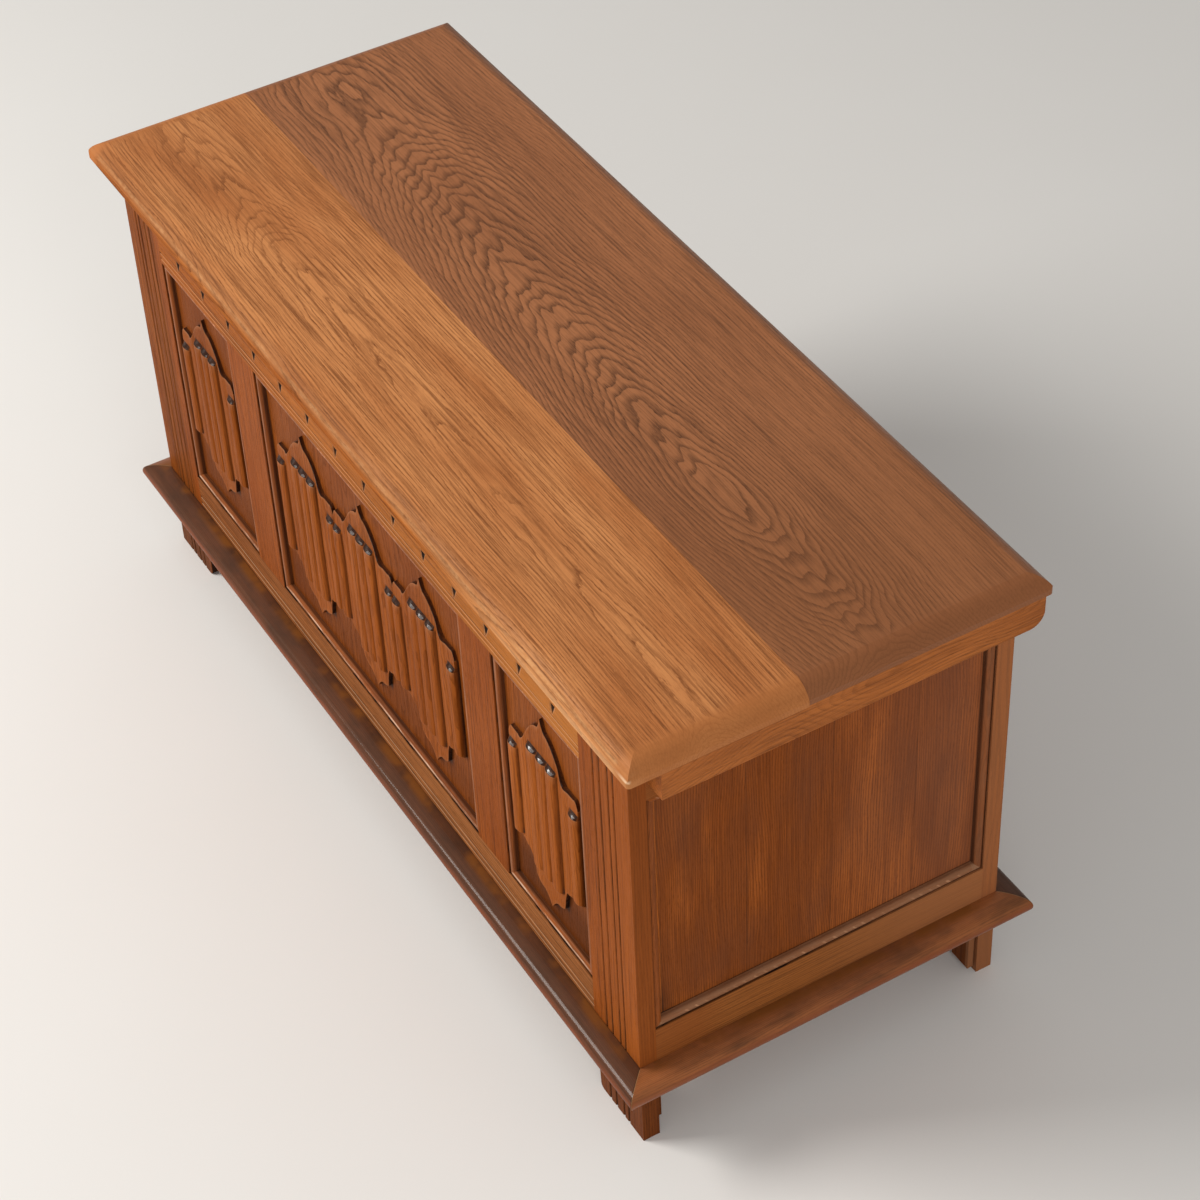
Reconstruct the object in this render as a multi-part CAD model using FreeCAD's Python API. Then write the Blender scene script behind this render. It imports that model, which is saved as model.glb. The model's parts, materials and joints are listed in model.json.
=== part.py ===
"""Coffer chest of oak: a framed and panelled box with carved linenfold panels, a nosed plinth
moulding, four feet that are the lower ends of the corner stiles, and a two-board lid that
turns on wooden pin hinges.

Millimetres, +Z up, +X to the right of somebody facing the chest, +Y towards the back.
The origin is on the floor under the middle of the body.
"""
import FreeCAD, Part
import math
import os

V = FreeCAD.Vector

# ---------------------------------------------------------------- driving dimensions
# body
body_width = 1030.0
body_depth = 404.0
body_height = 521.5
stock = 18.0                 # thickness of every frame member
stile_width = 83.0
foot_width = 78.0            # the stile is cut back a little below the plinth
foot_round = 6.0
opening_bottom = 152.0       # top edge of the bottom rails
opening_top = 447.0          # lower edge of the top rails
end_opening_rise = 10.0      # the end openings reach this much higher, up behind the cleats
rail_bottom = 86.0           # lower edge of the bottom rails and of the plinth
muntin_width = 59.5
rear_muntin_width = 70.0

# joints
tenon_long = 30.0            # rail tenons in the stiles
tenon_short = 20.0           # muntin tenons in the rails
tenon_end = 9.0              # end rail tenons in the backs of the stiles
tenon_shoulder = 8.0         # how far a tenon stays inside the edges of its rail
mortise_play = 0.3           # room at the end and the edges of a mortise
groove_depth = 8.0
panel_play = 1.5             # room for the panel to swell at the bottom of its groove

# panels
ground_depth = 8.0           # from the frame's face back to the panel's ground
panel_thickness = 7.0
bead_width = 9.0             # planted bead round each opening
bead_crest_depth = 1.2
bead_crest_from_quirk = 2.9
bead_quirk_width = 1.0
bead_quirk_depth = 2.4
bead_edge_height = 1.2       # height of the bead's thin edge over the ground
bead_edge_width = 0.3

# linenfold: one fold of cloth, sizes from its own centre line
fold_half_width = 62.2
fold_gap = 0.6               # between neighbouring folds
fold_side_margin = 8.05      # between the fold of a side panel and its beads
sheet_relief = 4.0           # the flat cloth over the ground
rib_relief = 8.5             # crest of the rounded folds over the ground
rib_width = 16.8
centre_rib_pitch = 17.2
fold_top_margin = 24.5       # from the opening's top down to the upper point
fold_arch_height = 49.5      # from the upper point down to the shoulders
fold_arch_half_width = 30.0
centre_rib_top_drop = 45.0   # from the upper point down to the ribs' tops
outer_rib_top_drop = 70.0
fold_bottom_margin = 27.0    # from the opening's bottom up to the lower point
fold_hem_height = 50.0       # from the lower point up to the hem
centre_rib_foot_height = 40.0
outer_rib_foot_height = 57.0

# the fold's outline: an arch with an ogee point above, a wider ogee point below
ogee_half_width = 7.5        # where the hollow sides of the upper point end
ogee_height = 13.5
ogee_sag = 1.6
arch_foot = 12.0             # the arch ends this far over the shoulder
arch_bulge = 3.2
arch_cove = 12.0             # width of the hollow between the arch and the shoulder
arch_cove_sag = 2.6
fold_corner_width = 7.0
fold_corner_height = 9.0
fold_corner_bulge = 2.4
hem_rise = 5.0               # the lower hem slants up to the fold's sides
drop_half_width = 28.5       # the hanging point below the hem
drop_cove = 9.5
drop_cove_height = 16.0
drop_cove_sag = 3.0
drop_corner_half_width = 26.0
drop_corner_height = 20.5    # the corners below the hollows, over the lower point
drop_corner_bulge = 1.5
drop_point_half_width = 13.0
drop_point_height = 14.5
drop_point_sag = 1.5

# incised lines and nicks
flute_width = 3.4
flute_depth = 1.9
stile_flutes = (26.0, 35.0, 49.0, 60.0)      # from the stile's outer edge
top_rail_flutes = (6.5, 13.5)                # above the opening
bottom_rail_flutes = (28.0, 37.0)            # below the opening
nick_pitch = 59.4
nick_low = 15.5              # above the opening
nick_high = 30.0
nick_width = 11.0
nick_steep_side = 2.75       # the short side of the nick, to the left of its deepest line
nick_depth = 3.6
nick_end_half_width = 1.9    # where it runs out at its lower end
nick_end_depth = 0.9

# plinth moulding
plinth_projection = 26.3
plinth_top = 109.0
plinth_nose_height = 96.5
plinth_shoulder_height = 105.6
plinth_undercut = 7.8        # the lower edge stays this far behind the nose
plinth_shoulder_setback = 6.8
plinth_wash_drop = 1.1       # fall of the top from the body to its middle

# bottom of the box
bearer_size = 18.0
bearer_base_height = 90.0    # its underside over the floor
bottom_thickness = 10.0
bottom_board_count = 3
bottom_gap = 0.3

# foot blocks behind the feet
block_thickness = 9.5
block_length = 26.0
block_floor_gap = 9.0
block_chamfer = 3.0
front_block_setback = 12.0
rear_block_setback = 2.0

# lid
lid_end_overhang = 35.0
lid_front_overhang = 19.5
lid_rear_overhang = 12.5
lid_thickness = 20.5
lid_nose = 6.0
lid_edge_width = 18.0        # width of the moulded edge
lid_edge_bulge = 2.2
lid_corner_round = 4.0
lid_joint_from_front = 179.5
rear_board_short = 1.2       # the rear board ends a little short at the right

# cleats and hinge pins
cleat_gap = 1.0              # from the body's end
cleat_thickness = 25.0
cleat_height = 41.5
cleat_front_setback = 38.0   # behind the lid's front edge
cleat_rear_setback = 1.8
cleat_rear_round = 16.0
pin_radius = 4.0
pin_play = 0.05
pin_in_cleat = 16.0
pin_in_stile = 40.0
pin_end_play = 0.5           # between the pin's end and the bottom of the cleat's hole
pin_from_back = 9.0          # pin centre in front of the body's back face
pin_below_lid = 20.5
swing_play = 0.5             # room under the lid's swinging underside

# cleat screws
screw_radius = 2.0
screw_head_radius = 4.2
screw_head_height = 3.0
screw_well = 14.0
screw_bite = 12.0
screw_hole_play = 0.15
screw_from_joint = 88.0      # one screw in each board, this far from the joint

# two points nearer than this are one
point_tolerance = 0.01

# ---------------------------------------------------------------- what follows from them
half_w = body_width / 2
half_d = body_depth / 2
stile_inner = half_w - stile_width
side_opening = 2 * (fold_half_width + fold_side_margin + bead_width)
muntin_outer = stile_inner - side_opening
half_centre = muntin_outer - muntin_width
fold_pitch = 2 * fold_half_width + fold_gap
end_opening_top = opening_top + end_opening_rise
fold_tip_top = opening_top - fold_top_margin
fold_tip_bottom = opening_bottom + fold_bottom_margin
fold_shoulder_top = fold_tip_top - fold_arch_height
fold_shoulder_bottom = fold_tip_bottom + fold_hem_height
end_half = half_d - stock
panel_back = ground_depth + panel_thickness
pin_y = half_d - pin_from_back
pin_z = body_height - pin_below_lid
lid_length = body_width + 2 * lid_end_overhang
lid_top = body_height + lid_thickness
lid_front = -half_d - lid_front_overhang
lid_rear = half_d + lid_rear_overhang
lid_joint = lid_front + lid_joint_from_front
screw_positions = (lid_joint - screw_from_joint, lid_joint + screw_from_joint)
cleat_inner = half_w + cleat_gap
cleat_outer = cleat_inner + cleat_thickness
cleat_under = body_height - cleat_height


# ---------------------------------------------------------------- small helpers
def box(x0, x1, y0, y1, z0, z1):
    return Part.makeBox(x1 - x0, y1 - y0, z1 - z0, V(x0, y0, z0))


def prism(points, run):
    """A closed polygon of points pushed along the vector run."""
    wire = Part.makePolygon(points + [points[0]])
    return Part.Face(wire).extrude(run)


def arc(a, b, c):
    """The round edge from a through b to c."""
    return Part.Arc(a, b, c).toShape()


def line(a, b):
    return Part.LineSegment(a, b).toShape()


def solid_from_edges(edges, run):
    """A closed chain of edges pushed along the vector run."""
    return Part.Face(Part.Wire(edges)).extrude(run)


def mirrored(shape):
    """The same piece for the left side of the chest."""
    return shape.mirror(V(0, 0, 0), V(1, 0, 0))


def on_front(shape):
    """A piece drawn with its face at y = 0 goes to the front of the body."""
    return shape.translated(V(0, -half_d, 0))


def on_rear(shape):
    turned = shape.rotated(V(0, 0, 0), V(0, 0, 1), 180)
    return turned.translated(V(0, half_d, 0))


def on_right_end(shape):
    turned = shape.rotated(V(0, 0, 0), V(0, 0, 1), 90)
    return turned.translated(V(half_w, 0, 0))


def cut_all(shape, tools):
    for tool in tools:
        shape = shape.cut(tool)
    return shape


# ---------------------------------------------------------------- members of a frame
# Frames are drawn standing on the XZ plane, outer face at y = 0, back face at y = stock.
def upright_flute(x, z0, z1):
    """An upright V cut in the face of a frame member."""
    half = flute_width / 2
    points = [V(x - half, 0, z0), V(x, flute_depth, z0), V(x + half, 0, z0)]
    return prism(points, V(0, 0, z1 - z0))


def level_flute(z, x0, x1):
    """A level V cut in the face of a frame member."""
    half = flute_width / 2
    points = [V(x0, 0, z - half), V(x0, flute_depth, z), V(x0, 0, z + half)]
    return prism(points, V(x1 - x0, 0, 0))


def groove(x0, x1, z0, z1):
    """Room for the edge of a panel, in the plane of every panel."""
    return box(x0, x1, ground_depth, panel_back, z0, z1)


def tenon(x0, x1, z0, z1):
    return box(x0, x1, ground_depth, panel_back, z0, z1)


def mortise(x0, x1, z0, z1):
    """The pocket for a tenon, a little longer and higher than the tenon."""
    return box(x0, x1, ground_depth, panel_back, z0 - mortise_play, z1 + mortise_play)


def rail(half_length, z0, z1, tenon_length, opening_edge):
    """A rail with a tenon at each end and a groove for the panels along one edge."""
    bar = box(-half_length, half_length, 0, stock, z0, z1)
    for side in (-1, 1):
        inner = side * half_length
        outer = side * (half_length + tenon_length)
        low = z0 + tenon_shoulder
        high = z1 - tenon_shoulder
        bar = bar.fuse(tenon(min(inner, outer), max(inner, outer), low, high))
    if opening_edge == "top":
        slot = groove(-half_length, half_length, z1 - groove_depth, z1)
    else:
        slot = groove(-half_length, half_length, z0, z0 + groove_depth)
    return bar.cut(slot)


def rail_mortises(x0, x1):
    """Both rail mortises of an upright, from x0 to x1."""
    low = mortise(x0, x1, rail_bottom + tenon_shoulder, opening_bottom - tenon_shoulder)
    high = mortise(x0, x1, opening_top + tenon_shoulder, body_height - tenon_shoulder)
    return [low, high]


def muntin(x0, x1):
    """A short upright between two openings, tenoned into both rails and grooved both sides."""
    post = box(x0, x1, 0, stock, opening_bottom, opening_top)
    low = opening_bottom - tenon_short
    high = opening_top + tenon_short
    post = post.fuse(tenon(x0 + tenon_shoulder, x1 - tenon_shoulder, low, high))
    tools = [
        groove(x0, x0 + groove_depth, opening_bottom, opening_top),
        groove(x1 - groove_depth, x1, opening_bottom, opening_top),
    ]
    return cut_all(post, tools)


def muntin_mortises(x0, x1):
    """The pockets for a muntin's tenons, cut in the two rails."""
    left = x0 + tenon_shoulder - mortise_play
    right = x1 - tenon_shoulder + mortise_play
    reach = tenon_short + mortise_play
    low = box(left, right, ground_depth, panel_back, opening_bottom - reach, opening_bottom)
    high = box(left, right, ground_depth, panel_back, opening_top, opening_top + reach)
    return low, high


# ---------------------------------------------------------------- stiles and feet
def foot_relief():
    """What is sawn off a right stile's inner edge below the plinth, with a rounded toe."""
    step = half_w - foot_width
    x = stile_inner
    low = V(step + foot_round, 0, 0)
    inset = foot_round * (1 - math.sqrt(0.5))
    bend = V(step + inset, 0, inset)
    side = V(step, 0, foot_round)
    high = V(x, 0, rail_bottom)
    corner = V(x, 0, 0)
    edges = [arc(low, bend, side), line(side, high), line(high, corner), line(corner, low)]
    return solid_from_edges(edges, V(0, stock, 0))


def end_pockets():
    """The end rail mortises and the end panel groove in the back of a right stile."""
    x0 = half_w - panel_back
    x1 = half_w - ground_depth
    reach = tenon_end + mortise_play
    play = mortise_play
    low = box(x0, x1, stock - reach, stock, rail_bottom + tenon_shoulder - play,
              opening_bottom - tenon_shoulder + play)
    high = box(x0, x1, stock - reach, stock, end_opening_top + tenon_shoulder - play,
               body_height - tenon_shoulder + play)
    slot = box(x0, x1, stock - groove_depth, stock, opening_bottom - groove_depth,
               end_opening_top + groove_depth)
    return [low, high, slot]


def right_stile():
    """A right-hand stile drawn in the front frame, without the flutes of its face."""
    z_low = opening_bottom - groove_depth
    z_high = opening_top + groove_depth
    post = box(stile_inner, half_w, 0, stock, 0, body_height)
    reach = stile_inner + tenon_long + mortise_play
    tools = [foot_relief(), groove(stile_inner, stile_inner + groove_depth, z_low, z_high)]
    tools += rail_mortises(stile_inner, reach)
    tools += end_pockets()
    return cut_all(post, tools)


def front_stile():
    post = right_stile()
    flutes = [upright_flute(half_w - inset, 0, body_height) for inset in stile_flutes]
    return on_front(cut_all(post, flutes))


def swing_room():
    """What must be gone from the top back arris so that the lid's underside can swing by."""
    radius = pin_below_lid - swing_play
    length = body_width
    corner = box(-half_w, half_w, pin_y, half_d, pin_z, body_height)
    round_bar = Part.makeCylinder(radius, length, V(-half_w, pin_y, pin_z), V(1, 0, 0))
    return corner.cut(round_bar)


def pin_hole():
    """The right hinge pin's hole, drilled through the stile and the end rail's tenon in it."""
    start = V(half_w - pin_in_stile, pin_y, pin_z)
    return Part.makeCylinder(pin_radius, pin_in_stile, start, V(1, 0, 0))


def rear_stile():
    """A plain stile at the back right, with the hole for the hinge pin."""
    post = on_rear(mirrored(right_stile()))
    return post.cut(pin_hole()).cut(swing_room())


# ---------------------------------------------------------------- rails
def nick(x):
    """A small chip cut in the top rail, deep at its upper end and running out downwards."""
    z0 = opening_top + nick_low
    z1 = opening_top + nick_high
    left = x - nick_steep_side
    right = left + nick_width
    half = nick_end_half_width
    wide = [V(left, 0, z1), V(x, nick_depth, z1), V(right, 0, z1)]
    small = [V(x - half, 0, z0), V(x, nick_end_depth, z0), V(x + half, 0, z0)]
    top = Part.makePolygon(wide + [wide[0]])
    low = Part.makePolygon(small + [small[0]])
    return Part.makeLoft([top, low], True)


def front_rails():
    top = rail(stile_inner, opening_top, body_height, tenon_long, "bottom")
    bottom = rail(stile_inner, rail_bottom, opening_bottom, tenon_long, "top")
    for x0, x1 in ((half_centre, muntin_outer), (-muntin_outer, -half_centre)):
        low, high = muntin_mortises(x0, x1)
        bottom = bottom.cut(low)
        top = top.cut(high)
    for height in top_rail_flutes:
        top = top.cut(level_flute(opening_top + height, -stile_inner, stile_inner))
    for drop in bottom_rail_flutes:
        bottom = bottom.cut(level_flute(opening_bottom - drop, -stile_inner, stile_inner))
    for i in range(round((stile_inner - nick_width) / nick_pitch)):
        middle = (i + 0.5) * nick_pitch
        top = top.cut(nick(middle)).cut(nick(-middle))
    return on_front(top), on_front(bottom)


def rear_rails():
    top = rail(stile_inner, opening_top, body_height, tenon_long, "bottom")
    bottom = rail(stile_inner, rail_bottom, opening_bottom, tenon_long, "top")
    half = rear_muntin_width / 2
    low, high = muntin_mortises(-half, half)
    top = on_rear(top.cut(high)).cut(swing_room())
    return top, on_rear(bottom.cut(low))


def end_rails():
    top = rail(end_half, end_opening_top, body_height, tenon_end, "bottom")
    bottom = rail(end_half, rail_bottom, opening_bottom, tenon_end, "top")
    return on_right_end(top).cut(pin_hole()), on_right_end(bottom)


# ---------------------------------------------------------------- panels
def plain_panel(x0, x1, top):
    """A flat panel standing in the grooves round an opening that reaches up to top."""
    reach = groove_depth - panel_play
    return box(x0 - reach, x1 + reach, ground_depth, panel_back,
               opening_bottom - reach, top + reach)


def bulged(a, b, bulge):
    """The round edge from a to b in the XZ plane, bulging to the left of its way by bulge."""
    way = b - a
    left = V(way.z, 0, -way.x).normalize() * -1
    return arc(a, (a + b) * 0.5 + left * bulge, b)


def fold_half_outline():
    """The right half of a fold's outline from its top to its lower tip.

    Each entry is a point (x, z) and the bulge of the edge that starts there, 0 for a straight
    edge; a positive bulge swells away from the fold.
    """
    wide = fold_half_width
    arch = fold_arch_half_width
    top = fold_shoulder_top
    low = fold_shoulder_bottom
    return [
        (0, fold_tip_top, -ogee_sag),
        (ogee_half_width, fold_tip_top - ogee_height, arch_bulge),
        (arch, top + arch_foot, -arch_cove_sag),
        (arch + arch_cove, top, 0),
        (wide - fold_corner_width, top, fold_corner_bulge),
        (wide, top - fold_corner_height, 0),
        (wide, low + hem_rise, 0),
        (drop_half_width + drop_cove, low, -drop_cove_sag),
        (drop_half_width, low - drop_cove_height, 0),
        (drop_corner_half_width, fold_tip_bottom + drop_corner_height, drop_corner_bulge),
        (drop_point_half_width, fold_tip_bottom + drop_point_height, -drop_point_sag),
        (0, fold_tip_bottom, 0),
    ]


def fold_outline(middle):
    """The closed outline of one fold of cloth round the centre line x = middle."""
    half = fold_half_outline()
    edges = []
    for side in (1, -1):
        for i in range(len(half) - 1):
            x0, z0, bulge = half[i]
            x1, z1, unused = half[i + 1]
            start = V(middle + side * x0, 0, z0)
            end = V(middle + side * x1, 0, z1)
            if bulge == 0:
                edges.append(line(start, end))
            else:
                edges.append(bulged(start, end, side * bulge))
    return Part.Wire(Part.__sortEdges__(edges))


def fold_rib(x, z0, z1):
    """One rounded fold: a low round bar standing on the flat cloth."""
    half = rib_width / 2
    base = ground_depth - sheet_relief
    crest = ground_depth - rib_relief
    edges = [
        arc(V(x - half, base, z0), V(x, crest, z0), V(x + half, base, z0)),
        line(V(x + half, base, z0), V(x + half, ground_depth, z0)),
        line(V(x + half, ground_depth, z0), V(x - half, ground_depth, z0)),
        line(V(x - half, ground_depth, z0), V(x - half, base, z0)),
    ]
    return solid_from_edges(edges, V(0, 0, z1 - z0))


def fold(x):
    """A whole fold: the flat cloth, three ribs down the middle and one at each edge."""
    sheet = Part.Face(fold_outline(x)).extrude(V(0, sheet_relief, 0))
    carving = sheet.translated(V(0, ground_depth - sheet_relief, 0))
    foot = fold_tip_bottom + centre_rib_foot_height
    top = fold_tip_top - centre_rib_top_drop
    for i in (-1, 0, 1):
        carving = carving.fuse(fold_rib(x + i * centre_rib_pitch, foot, top))
    foot = fold_tip_bottom + outer_rib_foot_height
    top = fold_tip_top - outer_rib_top_drop
    for side in (-1, 1):
        edge = x + side * (fold_half_width - rib_width / 2)
        carving = carving.fuse(fold_rib(edge, foot, top))
    return carving


def linenfold_panel(x0, x1):
    """A panel with as many folds as it has room for, carved in the middle of it."""
    middle = (x0 + x1) / 2
    room = x1 - x0 - 2 * bead_width - 2 * fold_half_width
    count = int(room / fold_pitch) + 1
    first = middle - fold_pitch * (count - 1) / 2
    panel = plain_panel(x0, x1, opening_top)
    for i in range(count):
        panel = panel.fuse(fold(first + i * fold_pitch))
    return panel.removeSplitter()


# ---------------------------------------------------------------- planted beads
def bead_section():
    """The bead's section in the corner between a frame edge (u = 0) and the panel's ground.

    The points are (u, depth): a quirk beside the frame, then the round of the bead.
    """
    far = bead_width
    quirk = (0.0, bead_quirk_depth)
    spring = (bead_quirk_width, bead_quirk_depth)
    crest = (bead_quirk_width + bead_crest_from_quirk, bead_crest_depth)
    land = (far - bead_edge_width, ground_depth - bead_edge_height)
    foot = (far, ground_depth)
    heel = (0.0, ground_depth)
    return quirk, spring, crest, land, foot, heel


def bead_length(start, run, inward):
    """One length of bead along the vector run, its section reaching inward from the frame."""
    quirk, spring, crest, land, foot, heel = [
        start + inward * u + V(0, depth, 0) for u, depth in bead_section()
    ]
    edges = [
        line(quirk, spring),
        arc(spring, crest, land),
        line(land, foot),
        line(foot, heel),
        line(heel, quirk),
    ]
    return solid_from_edges(edges, run)


def bead_ring(x0, x1, z1):
    """The four mitred lengths of bead round an opening that reaches up to z1."""
    z0 = opening_bottom
    wide = x1 - x0
    high = z1 - z0
    half = min(wide, high) / 2
    ring = []
    corners = [V(x0, 0, z0), V(x1, 0, z0), V(x1, 0, z1), V(x0, 0, z1)]
    inward = [V(0, 0, 1), V(-1, 0, 0), V(0, 0, -1), V(1, 0, 0)]
    for i in range(4):
        start = corners[i]
        end = corners[(i + 1) % 4]
        run = end - start
        along = V(run).normalize()
        strip = bead_length(start, run, inward[i])
        inner_start = start + along * half + inward[i] * half
        inner_end = end - along * half + inward[i] * half
        points = [start, end, inner_end]
        if not inner_end.isEqual(inner_start, point_tolerance):
            points.append(inner_start)
        wedge = prism(points, V(0, ground_depth, 0))
        ring.append(strip.common(wedge))
    return Part.makeCompound(ring)


# ---------------------------------------------------------------- plinth moulding
def plinth_length(half_run):
    """One length of nosed moulding against a face at y = 0, mitred at both ends."""
    out = -plinth_projection
    reach = half_run + plinth_projection
    a = V(-reach, 0, rail_bottom)
    b = V(-reach, out + plinth_undercut, rail_bottom)
    nose = V(-reach, out, plinth_nose_height)
    c = V(-reach, out + plinth_shoulder_setback, plinth_shoulder_height)
    slope = V(-reach, out / 2, plinth_top - plinth_wash_drop)
    d = V(-reach, 0, plinth_top)
    edges = [line(a, b), arc(b, nose, c), arc(c, slope, d), line(d, a)]
    bar = solid_from_edges(edges, V(2 * reach, 0, 0))
    far = 2 * plinth_projection
    plan = [
        V(-half_run, 0, 0),
        V(half_run, 0, 0),
        V(half_run + far, -far, 0),
        V(-half_run - far, -far, 0),
    ]
    return bar.common(prism(plan, V(0, 0, body_height)))


# ---------------------------------------------------------------- bottom of the box
def bearers():
    """Four bars round the inside that carry the bottom boards."""
    z0 = bearer_base_height
    z1 = z0 + bearer_size
    x = half_w - stock
    y = half_d - stock
    long_bar = box(-x, x, -y, -y + bearer_size, z0, z1)
    short_bar = box(x - bearer_size, x, -y + bearer_size, y - bearer_size, z0, z1)
    return long_bar, long_bar.mirror(V(0, 0, 0), V(0, 1, 0)), short_bar


def bottom_boards():
    z0 = bearer_base_height + bearer_size
    x = half_w - stock - bottom_gap
    inside = body_depth - 2 * stock
    pitch = inside / bottom_board_count
    boards = []
    for i in range(bottom_board_count):
        y0 = -inside / 2 + i * pitch + bottom_gap
        boards.append(box(-x, x, y0, y0 + pitch - bottom_gap, z0, z0 + bottom_thickness))
    return boards


def foot_block(y0, y1, setback, chamfer_at):
    """A small upright block glued behind a foot, under the end rail."""
    x1 = half_w - setback
    block = box(x1 - block_length, x1, y0, y1, block_floor_gap, rail_bottom)
    step = block_chamfer
    away = 1 if chamfer_at == y0 else -1
    plan = [V(x1, chamfer_at, 0), V(x1 - step, chamfer_at, 0), V(x1, chamfer_at + away * step, 0)]
    return block.cut(prism(plan, V(0, 0, rail_bottom)))


# ---------------------------------------------------------------- lid
def lid_section(low, high, place, run):
    """The lid's section from low to high with its moulded edges, pushed along run."""
    under = body_height
    nose = under + lid_nose
    top = lid_top
    mid = lid_edge_width / 2
    rise = (nose + top) / 2 + lid_edge_bulge
    edges = [
        line(place(low, under), place(high, under)),
        line(place(high, under), place(high, nose)),
        arc(place(high, nose), place(high - mid + lid_edge_bulge, rise),
            place(high - lid_edge_width, top)),
        line(place(high - lid_edge_width, top), place(low + lid_edge_width, top)),
        arc(place(low + lid_edge_width, top), place(low + mid - lid_edge_bulge, rise),
            place(low, nose)),
        line(place(low, nose), place(low, under)),
    ]
    return solid_from_edges(edges, run)


def lid_blank(right_end):
    """The whole moulded lid, its right end at right_end."""
    left = -lid_length / 2
    depth = lid_rear - lid_front
    along = lid_section(lid_front, lid_rear, lambda y, z: V(left, y, z), V(right_end - left, 0, 0))
    across = lid_section(left, right_end, lambda x, z: V(x, lid_front, z), V(0, depth, 0))
    plan = box(left, right_end, lid_front, lid_rear, body_height, lid_top)
    upright = [e for e in plan.Edges if abs(e.tangentAt(e.FirstParameter).z) > 0.9]
    plan = plan.makeFillet(lid_corner_round, upright)
    return along.common(across).common(plan)


def screw_hole(x, y, bottom, top, radius):
    return Part.makeCylinder(radius, top - bottom, V(x, y, bottom), V(0, 0, 1))


def lid_boards():
    x = (cleat_inner + cleat_outer) / 2
    edge = lid_length / 2
    front = lid_blank(edge)
    front = front.common(box(-edge, edge, lid_front, lid_joint, body_height, lid_top))
    rear = lid_blank(edge - rear_board_short)
    rear = rear.common(box(-edge, edge, lid_joint, lid_rear, body_height, lid_top))
    for y in screw_positions:
        for side in (-1, 1):
            hole = screw_hole(side * x, y, body_height, body_height + screw_bite, screw_radius)
            if y < lid_joint:
                front = front.cut(hole)
            else:
                rear = rear.cut(hole)
    return front, rear


def cleat():
    """The right cleat: an upright bar outside the body's end, with the pin's blind hole."""
    y0 = lid_front + cleat_front_setback
    y1 = lid_rear - cleat_rear_setback
    bar = box(cleat_inner, cleat_outer, y0, y1, cleat_under, body_height)
    heel = [e for e in bar.Edges
            if abs(e.CenterOfMass.y - y1) < 0.1 and abs(e.CenterOfMass.z - cleat_under) < 0.1]
    bar = bar.makeFillet(cleat_rear_round, heel)
    hole = Part.makeCylinder(pin_radius + pin_play, pin_in_cleat, V(cleat_inner, pin_y, pin_z),
                             V(1, 0, 0))
    bar = bar.cut(hole)
    x = (cleat_inner + cleat_outer) / 2
    for y in screw_positions:
        well = screw_hole(x, y, cleat_under, cleat_under + screw_well,
                          screw_head_radius + 2 * screw_hole_play)
        shank = screw_hole(x, y, cleat_under, body_height, screw_radius + screw_hole_play)
        bar = bar.cut(well).cut(shank)
    return bar


def cleat_screws():
    """A screw up through the right cleat into each lid board, its head at the top of a well."""
    x = (cleat_inner + cleat_outer) / 2
    seat = cleat_under + screw_well
    screws = []
    for y in screw_positions:
        head = screw_hole(x, y, seat - screw_head_height, seat, screw_head_radius)
        shank = screw_hole(x, y, seat, body_height + screw_bite, screw_radius)
        screws.append(head.fuse(shank))
    return Part.makeCompound(screws)


def hinge_pin():
    """The right hinge pin: fast in the stile, running in the cleat's blind hole."""
    x0 = half_w - pin_in_stile
    x1 = cleat_inner + pin_in_cleat - pin_end_play
    return Part.makeCylinder(pin_radius, x1 - x0, V(x0, pin_y, pin_z), V(1, 0, 0))


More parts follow.
